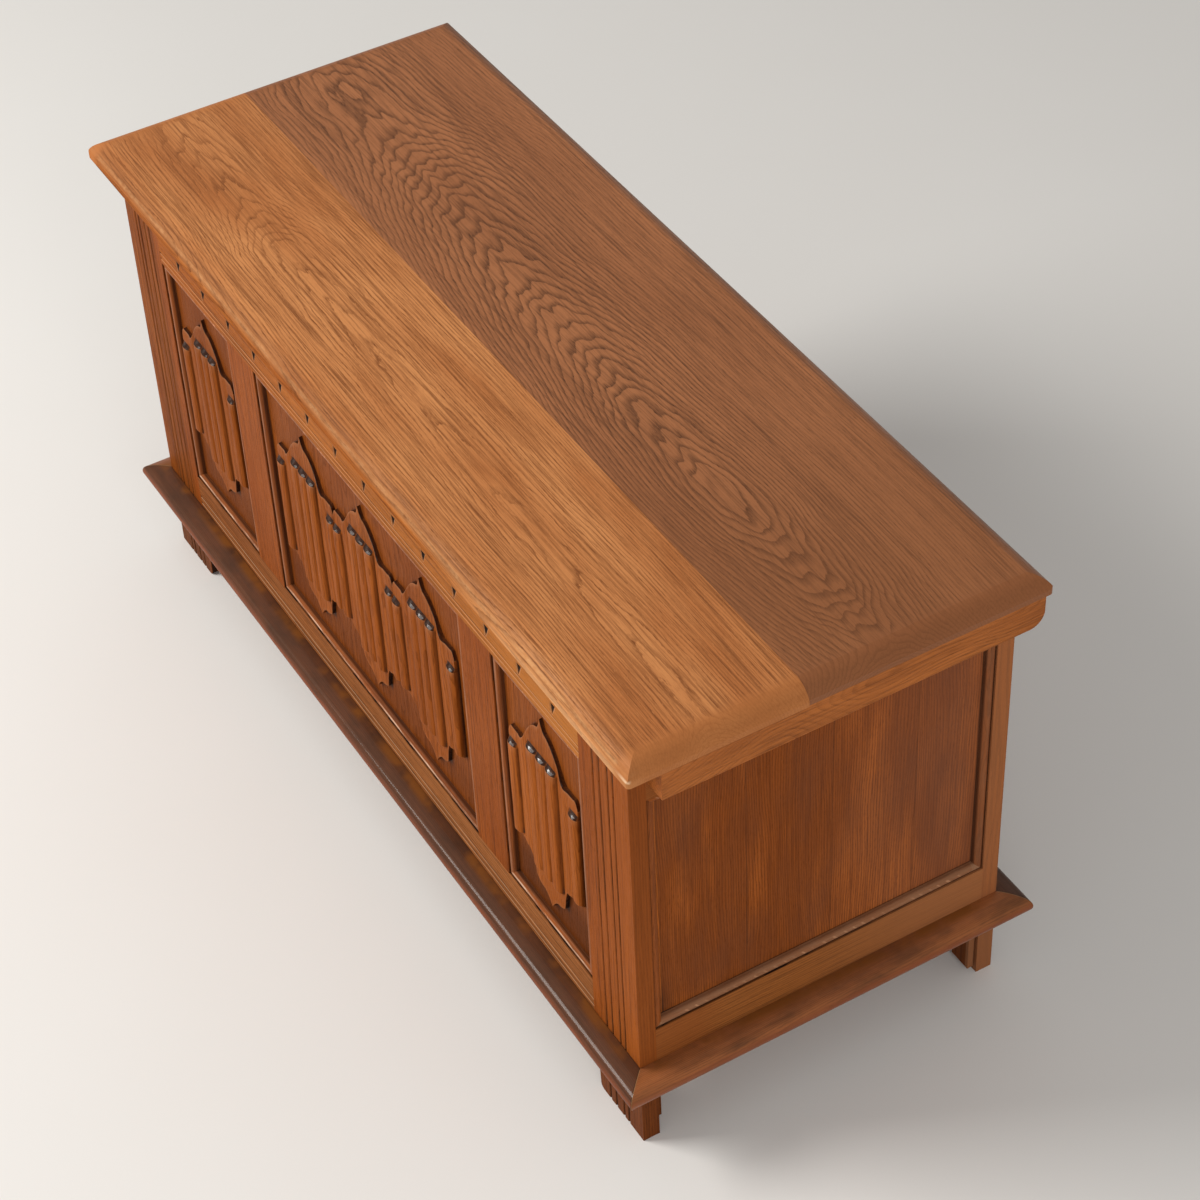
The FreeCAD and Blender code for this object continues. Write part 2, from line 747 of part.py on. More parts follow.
# ---------------------------------------------------------------- assembly
def pieces():
    """Every node of the chest with its shape."""
    out = {}
    stile_f = front_stile()
    stile_r = rear_stile()
    out["stile_front_right"] = stile_f
    out["stile_front_left"] = mirrored(stile_f)
    out["stile_rear_right"] = stile_r
    out["stile_rear_left"] = mirrored(stile_r)
    out["rail_front_top"], out["rail_front_bottom"] = front_rails()
    out["rail_rear_top"], out["rail_rear_bottom"] = rear_rails()
    end_top, end_bottom = end_rails()
    out["rail_end_top_right"] = end_top
    out["rail_end_top_left"] = mirrored(end_top)
    out["rail_end_bottom_right"] = end_bottom
    out["rail_end_bottom_left"] = mirrored(end_bottom)

    muntin_f = on_front(muntin(half_centre, muntin_outer))
    out["muntin_front_right"] = muntin_f
    out["muntin_front_left"] = mirrored(muntin_f)
    half_rear = rear_muntin_width / 2
    out["muntin_rear"] = on_rear(muntin(-half_rear, half_rear))

    side_panel = on_front(linenfold_panel(muntin_outer, stile_inner))
    out["panel_linenfold_right"] = side_panel
    out["panel_linenfold_left"] = mirrored(side_panel)
    out["panel_linenfold_centre"] = on_front(linenfold_panel(-half_centre, half_centre))
    end_panel = on_right_end(plain_panel(-end_half, end_half, end_opening_top))
    out["panel_end_right"] = end_panel
    out["panel_end_left"] = mirrored(end_panel)
    rear_panel = on_rear(plain_panel(half_rear, stile_inner, opening_top))
    out["panel_rear_left"] = rear_panel
    out["panel_rear_right"] = mirrored(rear_panel)

    side_beads = on_front(bead_ring(muntin_outer, stile_inner, opening_top))
    out["beads_front_right"] = side_beads
    out["beads_front_left"] = mirrored(side_beads)
    out["beads_front_centre"] = on_front(bead_ring(-half_centre, half_centre, opening_top))
    end_beads = on_right_end(bead_ring(-end_half, end_half, end_opening_top))
    out["beads_end_right"] = end_beads
    out["beads_end_left"] = mirrored(end_beads)

    out["plinth_front"] = on_front(plinth_length(half_w))
    out["plinth_rear"] = on_rear(plinth_length(half_w))
    plinth_end = on_right_end(plinth_length(half_d))
    out["plinth_right"] = plinth_end
    out["plinth_left"] = mirrored(plinth_end)

    bearer_f, bearer_b, bearer_e = bearers()
    out["bearer_front"] = bearer_f
    out["bearer_rear"] = bearer_b
    out["bearer_right"] = bearer_e
    out["bearer_left"] = mirrored(bearer_e)
    for i, board in enumerate(bottom_boards()):
        out["bottom_board_%d" % (i + 1)] = board

    inner = half_d - stock
    front_block = foot_block(-inner, -inner + block_thickness, front_block_setback, -inner)
    rear_block = foot_block(inner - block_thickness, inner, rear_block_setback, inner)
    blocks = [front_block, rear_block, mirrored(front_block), mirrored(rear_block)]
    out["foot_blocks"] = Part.makeCompound(blocks)

    out["lid_board_front"], out["lid_board_rear"] = lid_boards()
    cleat_r = cleat()
    out["lid_cleat_right"] = cleat_r
    out["lid_cleat_left"] = mirrored(cleat_r)
    screws = cleat_screws()
    out["cleat_screws_right"] = screws
    out["cleat_screws_left"] = mirrored(screws)
    pin = hinge_pin()
    out["hinge_pin_right"] = pin
    out["hinge_pin_left"] = mirrored(pin)
    return out


def main():
    os.makedirs("parts", exist_ok=True)
    for name, shape in pieces().items():
        if not shape.isValid():
            print("not valid:", name)
        shape.exportStep("parts/%s.step" % name)
    print("wrote the nodes to parts")


main()
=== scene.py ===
# %% [markdown]
# # A carved oak coffer
#
# The chest is a joiner's piece: stiles, rails and muntins hold loose panels, a nosed plinth
# moulding runs round the bottom, and two wide boards with a cleat under each end make the lid.
# The packed CAD model brings every piece at its real size. This lesson gives the pieces their
# eased edges, their carving and their oak, and then lights the chest in a plain pale studio.
#
# Lengths are written in millimetres where a joiner would think of them, and MM turns them into
# metres, the unit of the scene.

# %% Load the packed chest as a fixed frame
import bpy
import json
import math
import numpy as np
from mathutils import Matrix, Vector


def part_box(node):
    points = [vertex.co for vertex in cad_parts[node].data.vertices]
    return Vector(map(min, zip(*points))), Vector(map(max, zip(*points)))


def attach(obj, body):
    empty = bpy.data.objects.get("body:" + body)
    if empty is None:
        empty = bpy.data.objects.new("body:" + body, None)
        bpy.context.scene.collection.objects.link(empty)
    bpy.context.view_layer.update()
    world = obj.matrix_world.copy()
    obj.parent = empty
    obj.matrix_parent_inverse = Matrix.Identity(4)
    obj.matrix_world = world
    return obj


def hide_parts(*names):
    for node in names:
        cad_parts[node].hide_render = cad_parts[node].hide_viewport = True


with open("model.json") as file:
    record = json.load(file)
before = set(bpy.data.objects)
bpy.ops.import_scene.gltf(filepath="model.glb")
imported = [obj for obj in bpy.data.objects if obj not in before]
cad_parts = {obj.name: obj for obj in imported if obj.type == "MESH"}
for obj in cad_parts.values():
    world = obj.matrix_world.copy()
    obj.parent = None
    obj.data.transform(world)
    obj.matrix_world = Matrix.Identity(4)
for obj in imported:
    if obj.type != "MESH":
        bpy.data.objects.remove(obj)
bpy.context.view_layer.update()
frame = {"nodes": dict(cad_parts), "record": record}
MM = 0.001


def box_mm(node):
    """The lowest and the highest corner of a packed node, in millimetres to a thousandth."""
    return [[round(float(side) / MM, 3) for side in corner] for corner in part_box(node)]


# %% [markdown]
# ## Writing shader maths as expressions
#
# A material is a net of nodes, and a net that is built line by line hides the formula that it
# computes. The class Wire below wraps one output socket. Adding, multiplying or comparing wires
# puts a Math node in the net, so a formula in Python is also the net.

# %% Wires
class Wire:
    """One output socket of a material's net; arithmetic on it adds Math nodes."""

    def __init__(self, finish, socket):
        self.finish = finish
        self.socket = socket

    def math(self, operation, *values):
        node = self.finish.node("ShaderNodeMath", {"operation": operation}, values)
        return Wire(self.finish, node.outputs[0])

    def __add__(self, other):
        return self.math("ADD", self, other)

    def __sub__(self, other):
        return self.math("SUBTRACT", self, other)

    def __rsub__(self, other):
        return self.math("SUBTRACT", other, self)

    def __mul__(self, other):
        return self.math("MULTIPLY", self, other)

    def __truediv__(self, other):
        return self.math("DIVIDE", self, other)

    __radd__ = __add__
    __rmul__ = __mul__

    def root(self):
        return self.math("SQRT", self)

    def size(self):
        return self.math("ABSOLUTE", self)

    def part(self):
        """What is left of the value after its whole number."""
        return self.math("FRACT", self)

    def whole(self):
        return self.math("FLOOR", self)

    def least(self, other):
        return self.math("MINIMUM", self, other)

    def most(self, other):
        return self.math("MAXIMUM", self, other)

    def under(self, other):
        """1 where the value is below the other, 0 elsewhere."""
        return self.math("LESS_THAN", self, other)

    def clear(self):
        """The value held between 0 and 1."""
        return self.most(0.0).least(1.0)

    def step(self, low, high):
        """0 below low, 1 above high, and a smooth S between them."""
        node = self.finish.node(
            "ShaderNodeMapRange", {"interpolation_type": "SMOOTHSTEP"},
            {"Value": self, "From Min": low, "From Max": high})
        return Wire(self.finish, node.outputs[0])

    def until(self, low, high):
        """1 below low, 0 above high, and a smooth S between them."""
        return 1.0 - self.step(low, high)


print("a wire has", [name for name in vars(Wire) if name[0] != "_"])

# %% [markdown]
# A finish is one material. All its nodes come from Finish.node, which sets the node's settings
# first and then its inputs. The other methods name the few kinds of node that wood needs: noise,
# a curve through given points, a mix of colours, rounded edges and bumps.

# %% Finishes
class Finish:
    """A material whose net is written through node(), noise() and colour helpers."""

    def __init__(self, name):
        self.material = bpy.data.materials.new(name)
        self.material.use_nodes = True
        self.tree = self.material.node_tree
        self.tree.nodes.clear()
        self.shader = self.node("ShaderNodeBsdfPrincipled")
        out = self.node("ShaderNodeOutputMaterial")
        self.tree.links.new(self.shader.outputs[0], out.inputs["Surface"])

    def node(self, kind, settings=None, values=()):
        """Adds a node: its settings first, then values or wires for its inputs."""
        node = self.tree.nodes.new(kind)
        for name, setting in (settings or {}).items():
            setattr(node, name, setting)
        pairs = values.items() if isinstance(values, dict) else enumerate(values)
        for key, value in pairs:
            self.feed(node.inputs[key], value)
        return node

    def feed(self, socket, value):
        if isinstance(value, Wire):
            self.tree.links.new(value.socket, socket)
        else:
            socket.default_value = value

    def place(self):
        """Object coordinates in millimetres, as three wires."""
        where = self.node("ShaderNodeTexCoord")
        split = self.node("ShaderNodeSeparateXYZ", None, [Wire(self, where.outputs["Object"])])
        return [Wire(self, out) / MM for out in split.outputs]

    def channels(self, attribute):
        """The three channels of a colour attribute of the mesh, as wires."""
        read = self.node("ShaderNodeAttribute", {"attribute_name": attribute})
        split = self.node("ShaderNodeSeparateColor", None, [Wire(self, read.outputs["Color"])])
        return [Wire(self, out) for out in split.outputs]

    def noise(self, x, y, z, detail=2.0, roughness=0.5):
        """Noise of about one cell per unit of x, y and z, between 0 and 1."""
        where = Wire(self, self.node("ShaderNodeCombineXYZ", None, [x, y, z]).outputs[0])
        node = self.node(
            "ShaderNodeTexNoise", {"noise_dimensions": "3D"},
            {"Vector": where, "Scale": 1.0, "Detail": detail, "Roughness": roughness})
        return Wire(self, node.outputs["Fac"])

    def curve(self, value, stops):
        """A smooth curve through (place, height) stops in rising order of place."""
        low, high = stops[0][0], stops[-1][0]
        least = min(height for place, height in stops)
        span = max(height for place, height in stops) - least
        node = self.node("ShaderNodeValToRGB", None, [(value - low) / (high - low)])
        ramp = node.color_ramp
        ramp.interpolation = "B_SPLINE"
        ramp.elements[0].position = 0.0
        ramp.elements[1].position = 1.0
        for place, height in stops[1:-1]:
            ramp.elements.new((place - low) / (high - low))
        for element, (place, height) in zip(ramp.elements, stops):
            grey = (height - least) / span
            element.color = (grey, grey, grey, 1.0)
        return Wire(self, node.outputs[0]) * span + least

    def mix(self, share, a, b, way="MIX"):
        """Colour a turning into colour b as share goes from 0 to 1."""
        node = self.node(
            "ShaderNodeMix", {"data_type": "RGBA", "blend_type": way, "clamp_factor": True})
        self.feed(node.inputs[0], share)
        for socket, colour in ((node.inputs[6], a), (node.inputs[7], b)):
            if isinstance(colour, Wire):
                self.feed(socket, colour)
            else:
                socket.default_value = (*colour, 1.0)
        return Wire(self, node.outputs[2])

    def edges(self, radius):
        """Normals that turn round every edge, and how strongly an edge bends them (0 to 1)."""
        node = self.node("ShaderNodeBevel", {"samples": 4}, {"Radius": radius * MM})
        flat = self.node("ShaderNodeNewGeometry")
        turned = self.node(
            "ShaderNodeVectorMath", {"operation": "DOT_PRODUCT"},
            [Wire(self, node.outputs[0]), Wire(self, flat.outputs["Normal"])])
        bend = 1.0 - Wire(self, turned.outputs["Value"])
        return Wire(self, node.outputs[0]), (bend * 6.0).clear()

    def bump(self, height, distance, normal=None):
        """A normal bent by a height in millimetres."""
        values = {"Height": height, "Distance": distance * MM}
        if normal:
            values["Normal"] = normal
        return Wire(self, self.node("ShaderNodeBump", None, values).outputs[0])

    def into(self, **inputs):
        """Feeds the shader's sockets, an underscore in a name standing for a space."""
        for name, value in inputs.items():
            if isinstance(value, tuple):
                value = (*value, 1.0)
            self.feed(self.shader.inputs[name.replace("_", " ")], value)
        return self.material


print("a finish has", [name for name in vars(Finish) if name[0] != "_"])

# %% [markdown]
# ## Oak
#
# Oak is a ring-porous wood: each year starts with a band of wide pores, which take a dark stain
# deeply, and ends with dense, lighter wood. A board's face cuts through those yearly shells. Where
# the cut runs nearly along the shells they show as nested arches, and where it crosses them they
# show as straight lines.
#
# The finish is worked out in the solid, so that it runs over edges as real grain does. The pith is
# a line beside the board. The distance from it, bent by slow noise, divided by the width of a
# year's ring, gives a phase. Its whole part counts the years and its fractional part tells early
# from late wood. Pores are noise drawn out along the grain. Where the pith sinks or rises along
# the board, given as a curve, the arches get their tips.

# %% The oak finish
AXES = {"x": (0, 1, 2), "y": (1, 0, 2), "z": (2, 0, 1), "z_end": (2, 1, 0)}
BLACKENED = (0.016, 0.010, 0.008)
finishes = {}


def oak(name, along, tones, pith, ring=2.6, depth=None, drift=None, wander=1.0, waves=1.0,
        ragged=1.0, teeth=1.0, broken=0.0, crisp=0.0, fade=None, boards=None, stain=0.9, blotch=0.6,
        gloss=0.4, shine=0.25, seed=0.0, streak=0.6, flecks=0.0, worn=0.5, ease=0.9,
        dress=None, polish=0.1, coat=1.5):
    """Stained oak, kept in finishes under its name.

    along   key of AXES, or a function of (finish, place) that gives the three wires
            along the grain, across it and into the wood
    tones   (light late wood, dark pores, cloudy patches) colours
    pith    (across, through) place of the pith in mm, on the axes other than the grain's
    ring    mean width of a year's ring in mm
    wander  how far slow noise shifts the pith sideways, waves and teeth how far quicker and
            quickest noise bend the rings, ragged how rough each ring's line is; 1 is plain oak
    depth   stops of the curve along the grain that says how far the pith sinks, in mm
    drift   stops of the curve along the grain that says where the pith runs across the board
    boards  (start, width) of glued boards counted across the grain
    broken  how far the year lines break up into short dashes, 0 to 1
    crisp   how sharply the year lines end, 0 to 1
    fade    (near, far, share): beyond far from the pith the year lines lose that share
    stain   share of dark stain in the early wood, streak in the fibres; blotch is how much
            clouds show, flecks how much the rays do
    gloss   roughness of the clean wood; shine is its specular level, polish and coat are the
            roughness and the refractive index of a varnish coat where the dress puts one
    worn    share of pale wear on the edges, which are rounded by ease mm; 0 for no rounding
    dress   function of (finish, place, colour, roughness, relief) that adds stain, wear,
        painted light and painted shade, and gives the three last of them back
    """
    finish = Finish(name)
    place = finish.place()
    u, v, w = along(finish, place) if callable(along) else (place[i] for i in AXES[along])
    light, dark, cloud = tones
    board_tone = 0.0
    if boards:
        start, width = boards
        count = ((v - start) / width).whole()
        board_tone = finish.noise(count * 7.31 + seed, 0.5, 0.5, 0.0) - 0.5
        u = u + count * 613.0
        w = w + count * 37.0
    slow = finish.noise(u / 300.0 + seed, v / 90.0, w / 90.0, 1.0) - 0.5
    quick = finish.noise(u / 60.0 + seed, v / 15.0, w / 15.0, 1.0) - 0.5
    jags = finish.noise(u / 22.0 - seed, v / 7.0, w / 7.0, 1.0) - 0.5
    rough = finish.noise(u / 6.0, v / 1.3, w / 1.3 + seed, 1.0) - 0.5
    across = v - (finish.curve(u, drift) if drift else pith[0]) + slow * (60.0 * wander)
    through = w - pith[1] + quick * (7.0 * waves) + jags * (2.4 * teeth * waves)
    if depth:
        through = through + finish.curve(u, depth)
    far = (across * across + through * through).root() + rough * (0.7 * ragged)
    phase = far / ring
    year = phase.part()
    pace = finish.noise(phase.whole() * 0.37, seed + 3.1, 0.0, 1.0)
    early = (1.0 - year / (pace * 0.7 + 0.2)).clear() * year.step(0.0, 0.1)
    pores = finish.noise(u / 9.0, v / 0.7, w / 0.7 + seed, 1.0, 0.6).step(0.52, 0.72)
    dashes = finish.noise(u / 20.0, v / 1.2, w / 1.2 - seed, 2.0, 0.6)
    if crisp:
        early = (early * (1.0 + crisp) - crisp * 0.5).clear()
    if fade:
        near, beyond, share = fade
        early = early * (1.0 - across.size().step(near, beyond) * share)
    if broken:
        runs = finish.noise(u / 45.0 + seed, v / 5.0, w / 5.0, 2.0, 0.6)
        early = early * (1.0 - broken + runs.step(0.45, 0.60) * broken)
    fibres = finish.noise(u / 110.0, v / 2.6, w / 2.6 - seed, 3.0, 0.65)
    strands = finish.noise(u / 70.0 + seed, v / 1.5, w / 1.5, 1.0) - 0.5
    shade = finish.noise(u / 260.0 - seed, v / 70.0, w / 70.0, 3.0, 0.55)
    body = finish.mix(((shade - 0.36) * (3.4 * blotch) + board_tone * 2.2).clear(), light, cloud)
    body = finish.mix(((fibres - 0.44 + strands * 0.5) * (3.4 * streak)).clear(), body, dark)
    soaked = early * (dashes * 1.2 + 0.4) + pores * (early * 0.4 + 0.26)
    colour = finish.mix((soaked * stain).clear(), body, dark)
    if flecks:
        ray = finish.noise(u / 4.0, v / 0.9 + u / 6.0, w / 3.0 + seed, 1.0).step(0.62, 0.76)
        colour = finish.mix(ray * flecks, colour, light)
    roughness = gloss + pores * 0.18 + early * 0.06 + (shade - 0.5) * 0.16
    relief = early * dashes * -0.5 - pores * 0.6 + fibres * 0.3
    normal, edge = finish.edges(ease) if worn else (None, None)
    if worn:
        rub = (finish.noise(u / 14.0, v / 6.0, w / 6.0, 2.0) * 2.2 - 0.6).clear()
        colour = finish.mix(edge * rub * worn, colour, tuple(min(1.0, c * 1.55) for c in light))
    if dress:
        colour, roughness, relief = dress(finish, place, colour, roughness, relief)
    finish.into(
        Base_Color=colour, Roughness=roughness, Normal=finish.bump(relief, 0.14, normal),
        Specular_IOR_Level=shine, Specular_Tint=(1.0, 0.74, 0.52),
        Coat_Roughness=polish, Coat_IOR=coat)
    finishes[name] = finish.material
    return finish.material


print("grain can run along", sorted(AXES))

# %% [markdown]
# ## Stain in the hollows
#
# The shop wiped a black-brown stain into every flute, quirk and chip cut and rubbed it off the
# faces. A hollow can be told by its depth behind the chest's faces, so one measure, the distance
# to the nearest face of the box, serves the flutes of the stiles, the lines of the rails, the
# nicks and the quirks of the beads.
#
# Much of the finish also changes slowly along the chest, partly as painted light and shade and
# partly because hands did not reach all of it alike. Such a change is a smooth step between two
# places on one axis, so the zones below are pairs of millimetres: nothing before the first, all of
# it after the second.

# %% Measures that the stain follows
body_low, body_high = box_mm("stile_front_right")
HALF_LONG, HALF_DEEP = body_high[0], -body_low[1]
RAIL_EDGES = (box_mm("rail_front_top")[0][2], box_mm("rail_front_bottom")[1][2])
FEET_TOP = (80.0, 90.0)
WALL_FOOT = (95.0, 105.0)
POOL_TOP = (108.0, 180.0)
NICK_FOOT, NICK_TOP = (459.0, 460.5), (486.0, 488.0)
UNDER_LID = (521.0, 521.3)
LEFT_STILE = (-450.0, -440.0)
RIGHT_STILE = (440.0, 490.0)
FRONT_MEMBER = 8.0


def behind_face(place):
    """Depth of a point behind the nearest upright face of the body, in mm."""
    x, y, z = place
    return (HALF_LONG - x.size()).least(HALF_DEEP - y.size())


print("body faces at x", HALF_LONG, "and y", HALF_DEEP, "- rail edges at z", RAIL_EDGES)

# %% [markdown]
# The frame's dress comes in layers, stain and wear as the real one got them, with painted light
# among them: first the tone of the place, with painted light on the right stile's front and at the
# right end of the top rail, then the black of the hollows, then the rims rubbed pale beside them,
# and last the feet under the plinth, darkened as painted shade, and the end faces, lightened
# towards the rear as painted light. The nicks are cut across the grain and hold a drop of varnish,
# so their floor is lumpy and glossy.

# %% Stain, wear and painted light on stiles and rails
def frame_stain_and_painted_light(wear, dusk=None):
    """Black in cut lines, rims worn pale, and painted shade on the feet under the plinth.

    dusk, given for rails, is the colour that their left end is multiplied by; a rail with it also
    gets painted light, a paler tone, at the right end of its upper part. The right stile's front is
    painted lighter and warmer as painted light, the left stile is dull with broad dark bands, and
    the stiles' faces on the ends are plain near the front and painted lighter towards the rear as
    painted light.
    """

    def dress(finish, place, colour, roughness, relief):
        x, y, z = place
        depth = behind_face(place)
        from_front, from_end = y + HALF_DEEP, HALF_LONG - x.size()
        patchy = finish.noise(x / 30.0, y / 30.0, z / 30.0, 2.0) * 0.6 + 0.55
        dashes = finish.noise(x / 24.0, y / 24.0, z / 24.0, 3.0, 0.6).step(0.46, 0.60)
        left = x.until(*LEFT_STILE)

        # Painted light: the right stile's front is painted lighter and warmer.
        sunny = x.step(*RIGHT_STILE) * from_front.under(0.8) * z.step(*WALL_FOOT)
        colour = finish.mix(sunny * 0.3, colour, (0.42, 0.115, 0.020))
        if dusk:
            colour = finish.mix(x.until(-420.0, 150.0), colour, dusk, "MULTIPLY")
            # Painted light: the right end of the top rail is painted paler.
            lit = x.step(130.0, 430.0) * z.step(380.0, 430.0)
            colour = finish.mix(lit * 0.4, colour, (0.58, 0.215, 0.045))

        cut = depth.step(0.25, 1.4) * depth.until(5.0, 7.0) * z.until(*UNDER_LID)
        nick = z.step(*NICK_FOOT) * z.until(*NICK_TOP) * depth.step(0.5, 1.5)
        nick = nick * from_front.under(FRONT_MEMBER)
        pool = z.until(*POOL_TOP)
        soaked = patchy * 0.35 + dashes * 0.45 + pool * 0.9 + left * 0.5
        black = cut * soaked + nick * (dashes * 0.3 + 0.65)
        colour = finish.mix(black.clear(), colour, BLACKENED)

        rim = depth.step(0.03, 0.25) * depth.until(0.5, 0.9) * patchy
        for edge in RAIL_EDGES:
            rim = rim * (z - edge).size().step(0.8, 1.6)
        colour = finish.mix(rim * wear, colour, (0.58, 0.32, 0.18))

        left = left * from_front.under(FRONT_MEMBER)
        bands = finish.noise(x / 4.0, 3.0, z / 160.0, 2.0, 0.6).step(0.42, 0.66)
        colour = finish.mix(left * 0.8, colour, (0.90, 0.99, 0.94), "MULTIPLY")
        colour = finish.mix(left * bands * 0.9, colour, (0.66, 0.56, 0.48), "MULTIPLY")
        # Painted shade: the feet under the plinth are painted darker.
        foot = z.until(*FEET_TOP)
        colour = finish.mix(foot * 0.5, colour, (0.045, 0.017, 0.009))
        plain = from_end.under(0.6) * y.until(-150.0, -100.0) * z.step(*WALL_FOOT)
        colour = finish.mix(plain * 0.55, colour, (0.255, 0.070, 0.017))
        # Painted light: the stiles' faces on the ends are painted lighter towards the rear.
        rear_painted_light = from_end.under(6.0) * y.step(-60.0, 170.0)
        colour = finish.mix(rear_painted_light * 0.6, colour, (0.40, 0.158, 0.066))

        lumps = finish.noise(x / 5.0, y / 3.0, z / 6.0, 1.0) * 8.0
        finish.into(Coat_Weight=nick * 0.2)
        return colour, roughness - cut * 0.1, relief * (1.0 - nick) + lumps * nick

    return dress


print("the frame's cut lines hold stain from 0.25 mm deep")

# %% [markdown]
# ## Beads and plain panels
#
# Each opening is framed by four lengths of one moulding, planed in a long strip, mitred at the
# corners and glued in. Their grain runs along each length, so the finish has to know which length
# a point is on: the one whose edge of the opening is nearest. The quirk beside the round and the
# foot of the moulding stay black, while the round itself is rubbed, and on the ends it shows
# short ticks where the plane chattered. On the ends the round's pale colour is also painted light,
# strongest on the lower length, weaker on the rear upright one and missing on the others; on the
# front a painted highlight on partly worn wood runs along the crest, mostly on the lower length.

# %% Grain, stain and painted light of the beads
def in_opening(place, low, high, end):
    """Where a point is in an opening: its side, its height, its distance from the nearest edge,
    and 1 where that edge is a level one.

    low and high are the opening's corners as (side, height), end tells the end openings from
    the front ones.
    """
    side, height = place[1] if end else place[0], place[2]
    beside = (side - low[0]).least(high[0] - side)
    above = (height - low[1]).least(high[1] - height)
    return side, height, beside.least(above), above.under(beside)


def bead_run(low, high, end):
    """Grain of the four lengths round an opening: level lengths run level, the others upright."""

    def run(finish, place):
        side, height, _, level = in_opening(place, low, high, end)
        inward = place[0] if end else place[1]
        return height + (side - height) * level, side + (height - side) * level, inward

    return run


def bead_stain_and_painted_light(low, high, end, crest, gloom):
    """Stain in quirk and foot of a bead, tick-like wear on its round, and painted light on it.

    crest is the colour of the worn round, which on the end beads is also painted light, strongest
    on the lower length, gloom the darkness of its unworn places.
    """
    slope = (8.6, 9.6) if end else (5.0, 6.8)
    pale = tuple(c * 1.9 for c in crest)

    def dress(finish, place, colour, roughness, relief):
        side, height, from_edge, level = in_opening(place, low, high, end)
        along = side + height
        lower = level * height.under((low[1] + high[1]) / 2.0)
        groups = finish.noise(along / 26.0, 4.0, 2.0, 2.0).step(0.40, 0.62)
        dull = finish.noise(along / 60.0, from_edge / 9.0, 7.0, 2.0)
        worn = finish.noise(along / 40.0, from_edge / 3.0, 9.0, 3.0, 0.6).step(0.40, 0.62)

        shade = ((dull - 0.3) * 2.0).clear() * gloom
        colour = finish.mix(shade, colour, (0.055, 0.024, 0.013))
        round_top = from_edge.step(1.2, 2.2) * from_edge.until(*slope)
        # Painted light: on the ends the lower length, and less the rear one, get more of the pale
        # crest colour; on the front the share is even.
        lit = lower * 0.6 + (high[0] - side).under(12.0) * 0.25 if end else 0.2
        colour = finish.mix((round_top * (worn * 0.35 * lit + lit)).clear(), colour, crest)
        if end:
            pitch = along / 11.0 + finish.noise(along / 40.0, 3.0, 3.0, 1.0) * 2.0
            ticks = (pitch.part() - 0.5).size().until(0.06, 0.14)
            ticks = ticks * (from_edge - 4.5).size().until(1.2, 2.4)
        else:
            ticks = finish.noise(along / 2.4, from_edge / 5.0, 1.0, 2.0, 0.6).step(0.50, 0.66)
            # Painted highlight on partly worn wood along the crest, mostly on the lower length.
            worn_crest_highlight = (from_edge - 5.0).size().until(0.4, 1.6)
            worn_crest_highlight = worn_crest_highlight * worn * (lower * 0.9 + 0.08)
            colour = finish.mix(worn_crest_highlight * (groups * 0.35 + 0.62), colour, (0.70, 0.48, 0.34))
        colour = finish.mix(round_top * groups * ticks * level * 0.7, colour, pale)

        quirk = from_edge.until(1.0, 2.0)
        foot = from_edge.step(8.0, 9.0) * (1.0 - lower * (0.75 if end else 0.0))
        black = (quirk * 0.8 + foot * 0.7).clear()
        return finish.mix(black, colour, BLACKENED), roughness, relief

    return dress


print("the beads' grain turns at each mitre")

# %% [markdown]
# The plain end panels are glued from boards of the same width, with a faint dark line at each
# joint. A thin dark line runs along the beads, the panel is darker towards the low front corner,
# and towards the rear it is painted greyer as painted light.

# %% Stain and painted light of the end panels
BEAD_WIDTH = 9.0
END_BOARDS = (-171.0, 92.0)
bead_low, bead_high = box_mm("beads_end_right")
END_OPENING = (
    (bead_low[1] + BEAD_WIDTH, bead_low[2] + BEAD_WIDTH),
    (bead_high[1] - BEAD_WIDTH, bead_high[2] - BEAD_WIDTH),
)


def panel_stain_and_painted_light(low, high):
    """Darker along the beads and most in the low front corner, and painted light at the rear."""
    start, width = END_BOARDS

    def dress(finish, place, colour, roughness, relief):
        x, y, z = place
        side = (y - low[0]).least(high[0] - y)
        rim = side.least(z - low[1]).least(high[1] - z)
        line = rim.until(0.0, 2.2)
        seam = (((y - start) / width).part() - 0.5).size().step(0.486, 0.497)
        # Darker towards the low front corner.
        nook = (y - low[0]).until(0.0, 26.0) * (z - low[1]).until(0.0, 60.0)
        smoke = finish.noise(y / 40.0, z / 120.0, 3.0, 3.0)
        colour = finish.mix((smoke - 0.40).clear() * 1.2, colour, (0.13, 0.045, 0.022))
        # Painted light: the rear part of the panel is painted greyer.
        rear_painted_light = y.step(-60.0, 170.0)
        colour = finish.mix(rear_painted_light * 0.35, colour, (0.24, 0.10, 0.060))
        black = (line * 0.8 + nook * 0.5 + seam * 0.25).clear()
        return finish.mix(black, colour, BLACKENED), roughness, relief

    return dress


print("end panel shows between", END_OPENING)

# %% [markdown]
# ## Wear of the plinth, and wear and painted light on the lid
#
# Feet and brooms meet the plinth's lower edge first, and there the stain is rubbed through to red
# wood. Its rounded shoulder is polished, and one long crisp glint runs along it, which a coat of
# varnish on that band alone gives. On the lid's front edge light and shade are painted: a pale line
# along its slope is a painted highlight on partly worn wood, the slope and the nose below it are
# painted darker as shade in the middle, the nose is painted lighter towards the right end, and a
# painted highlight sits on the front right corner. The end edges are planed across the grain and
# are plain and smooth.

# %% Wear of the plinth
RUBBED_TOP = (97.0, 103.0)
SHOULDER_FOOT, SHOULDER_TOP = (100.0, 102.0), (105.5, 107.5)


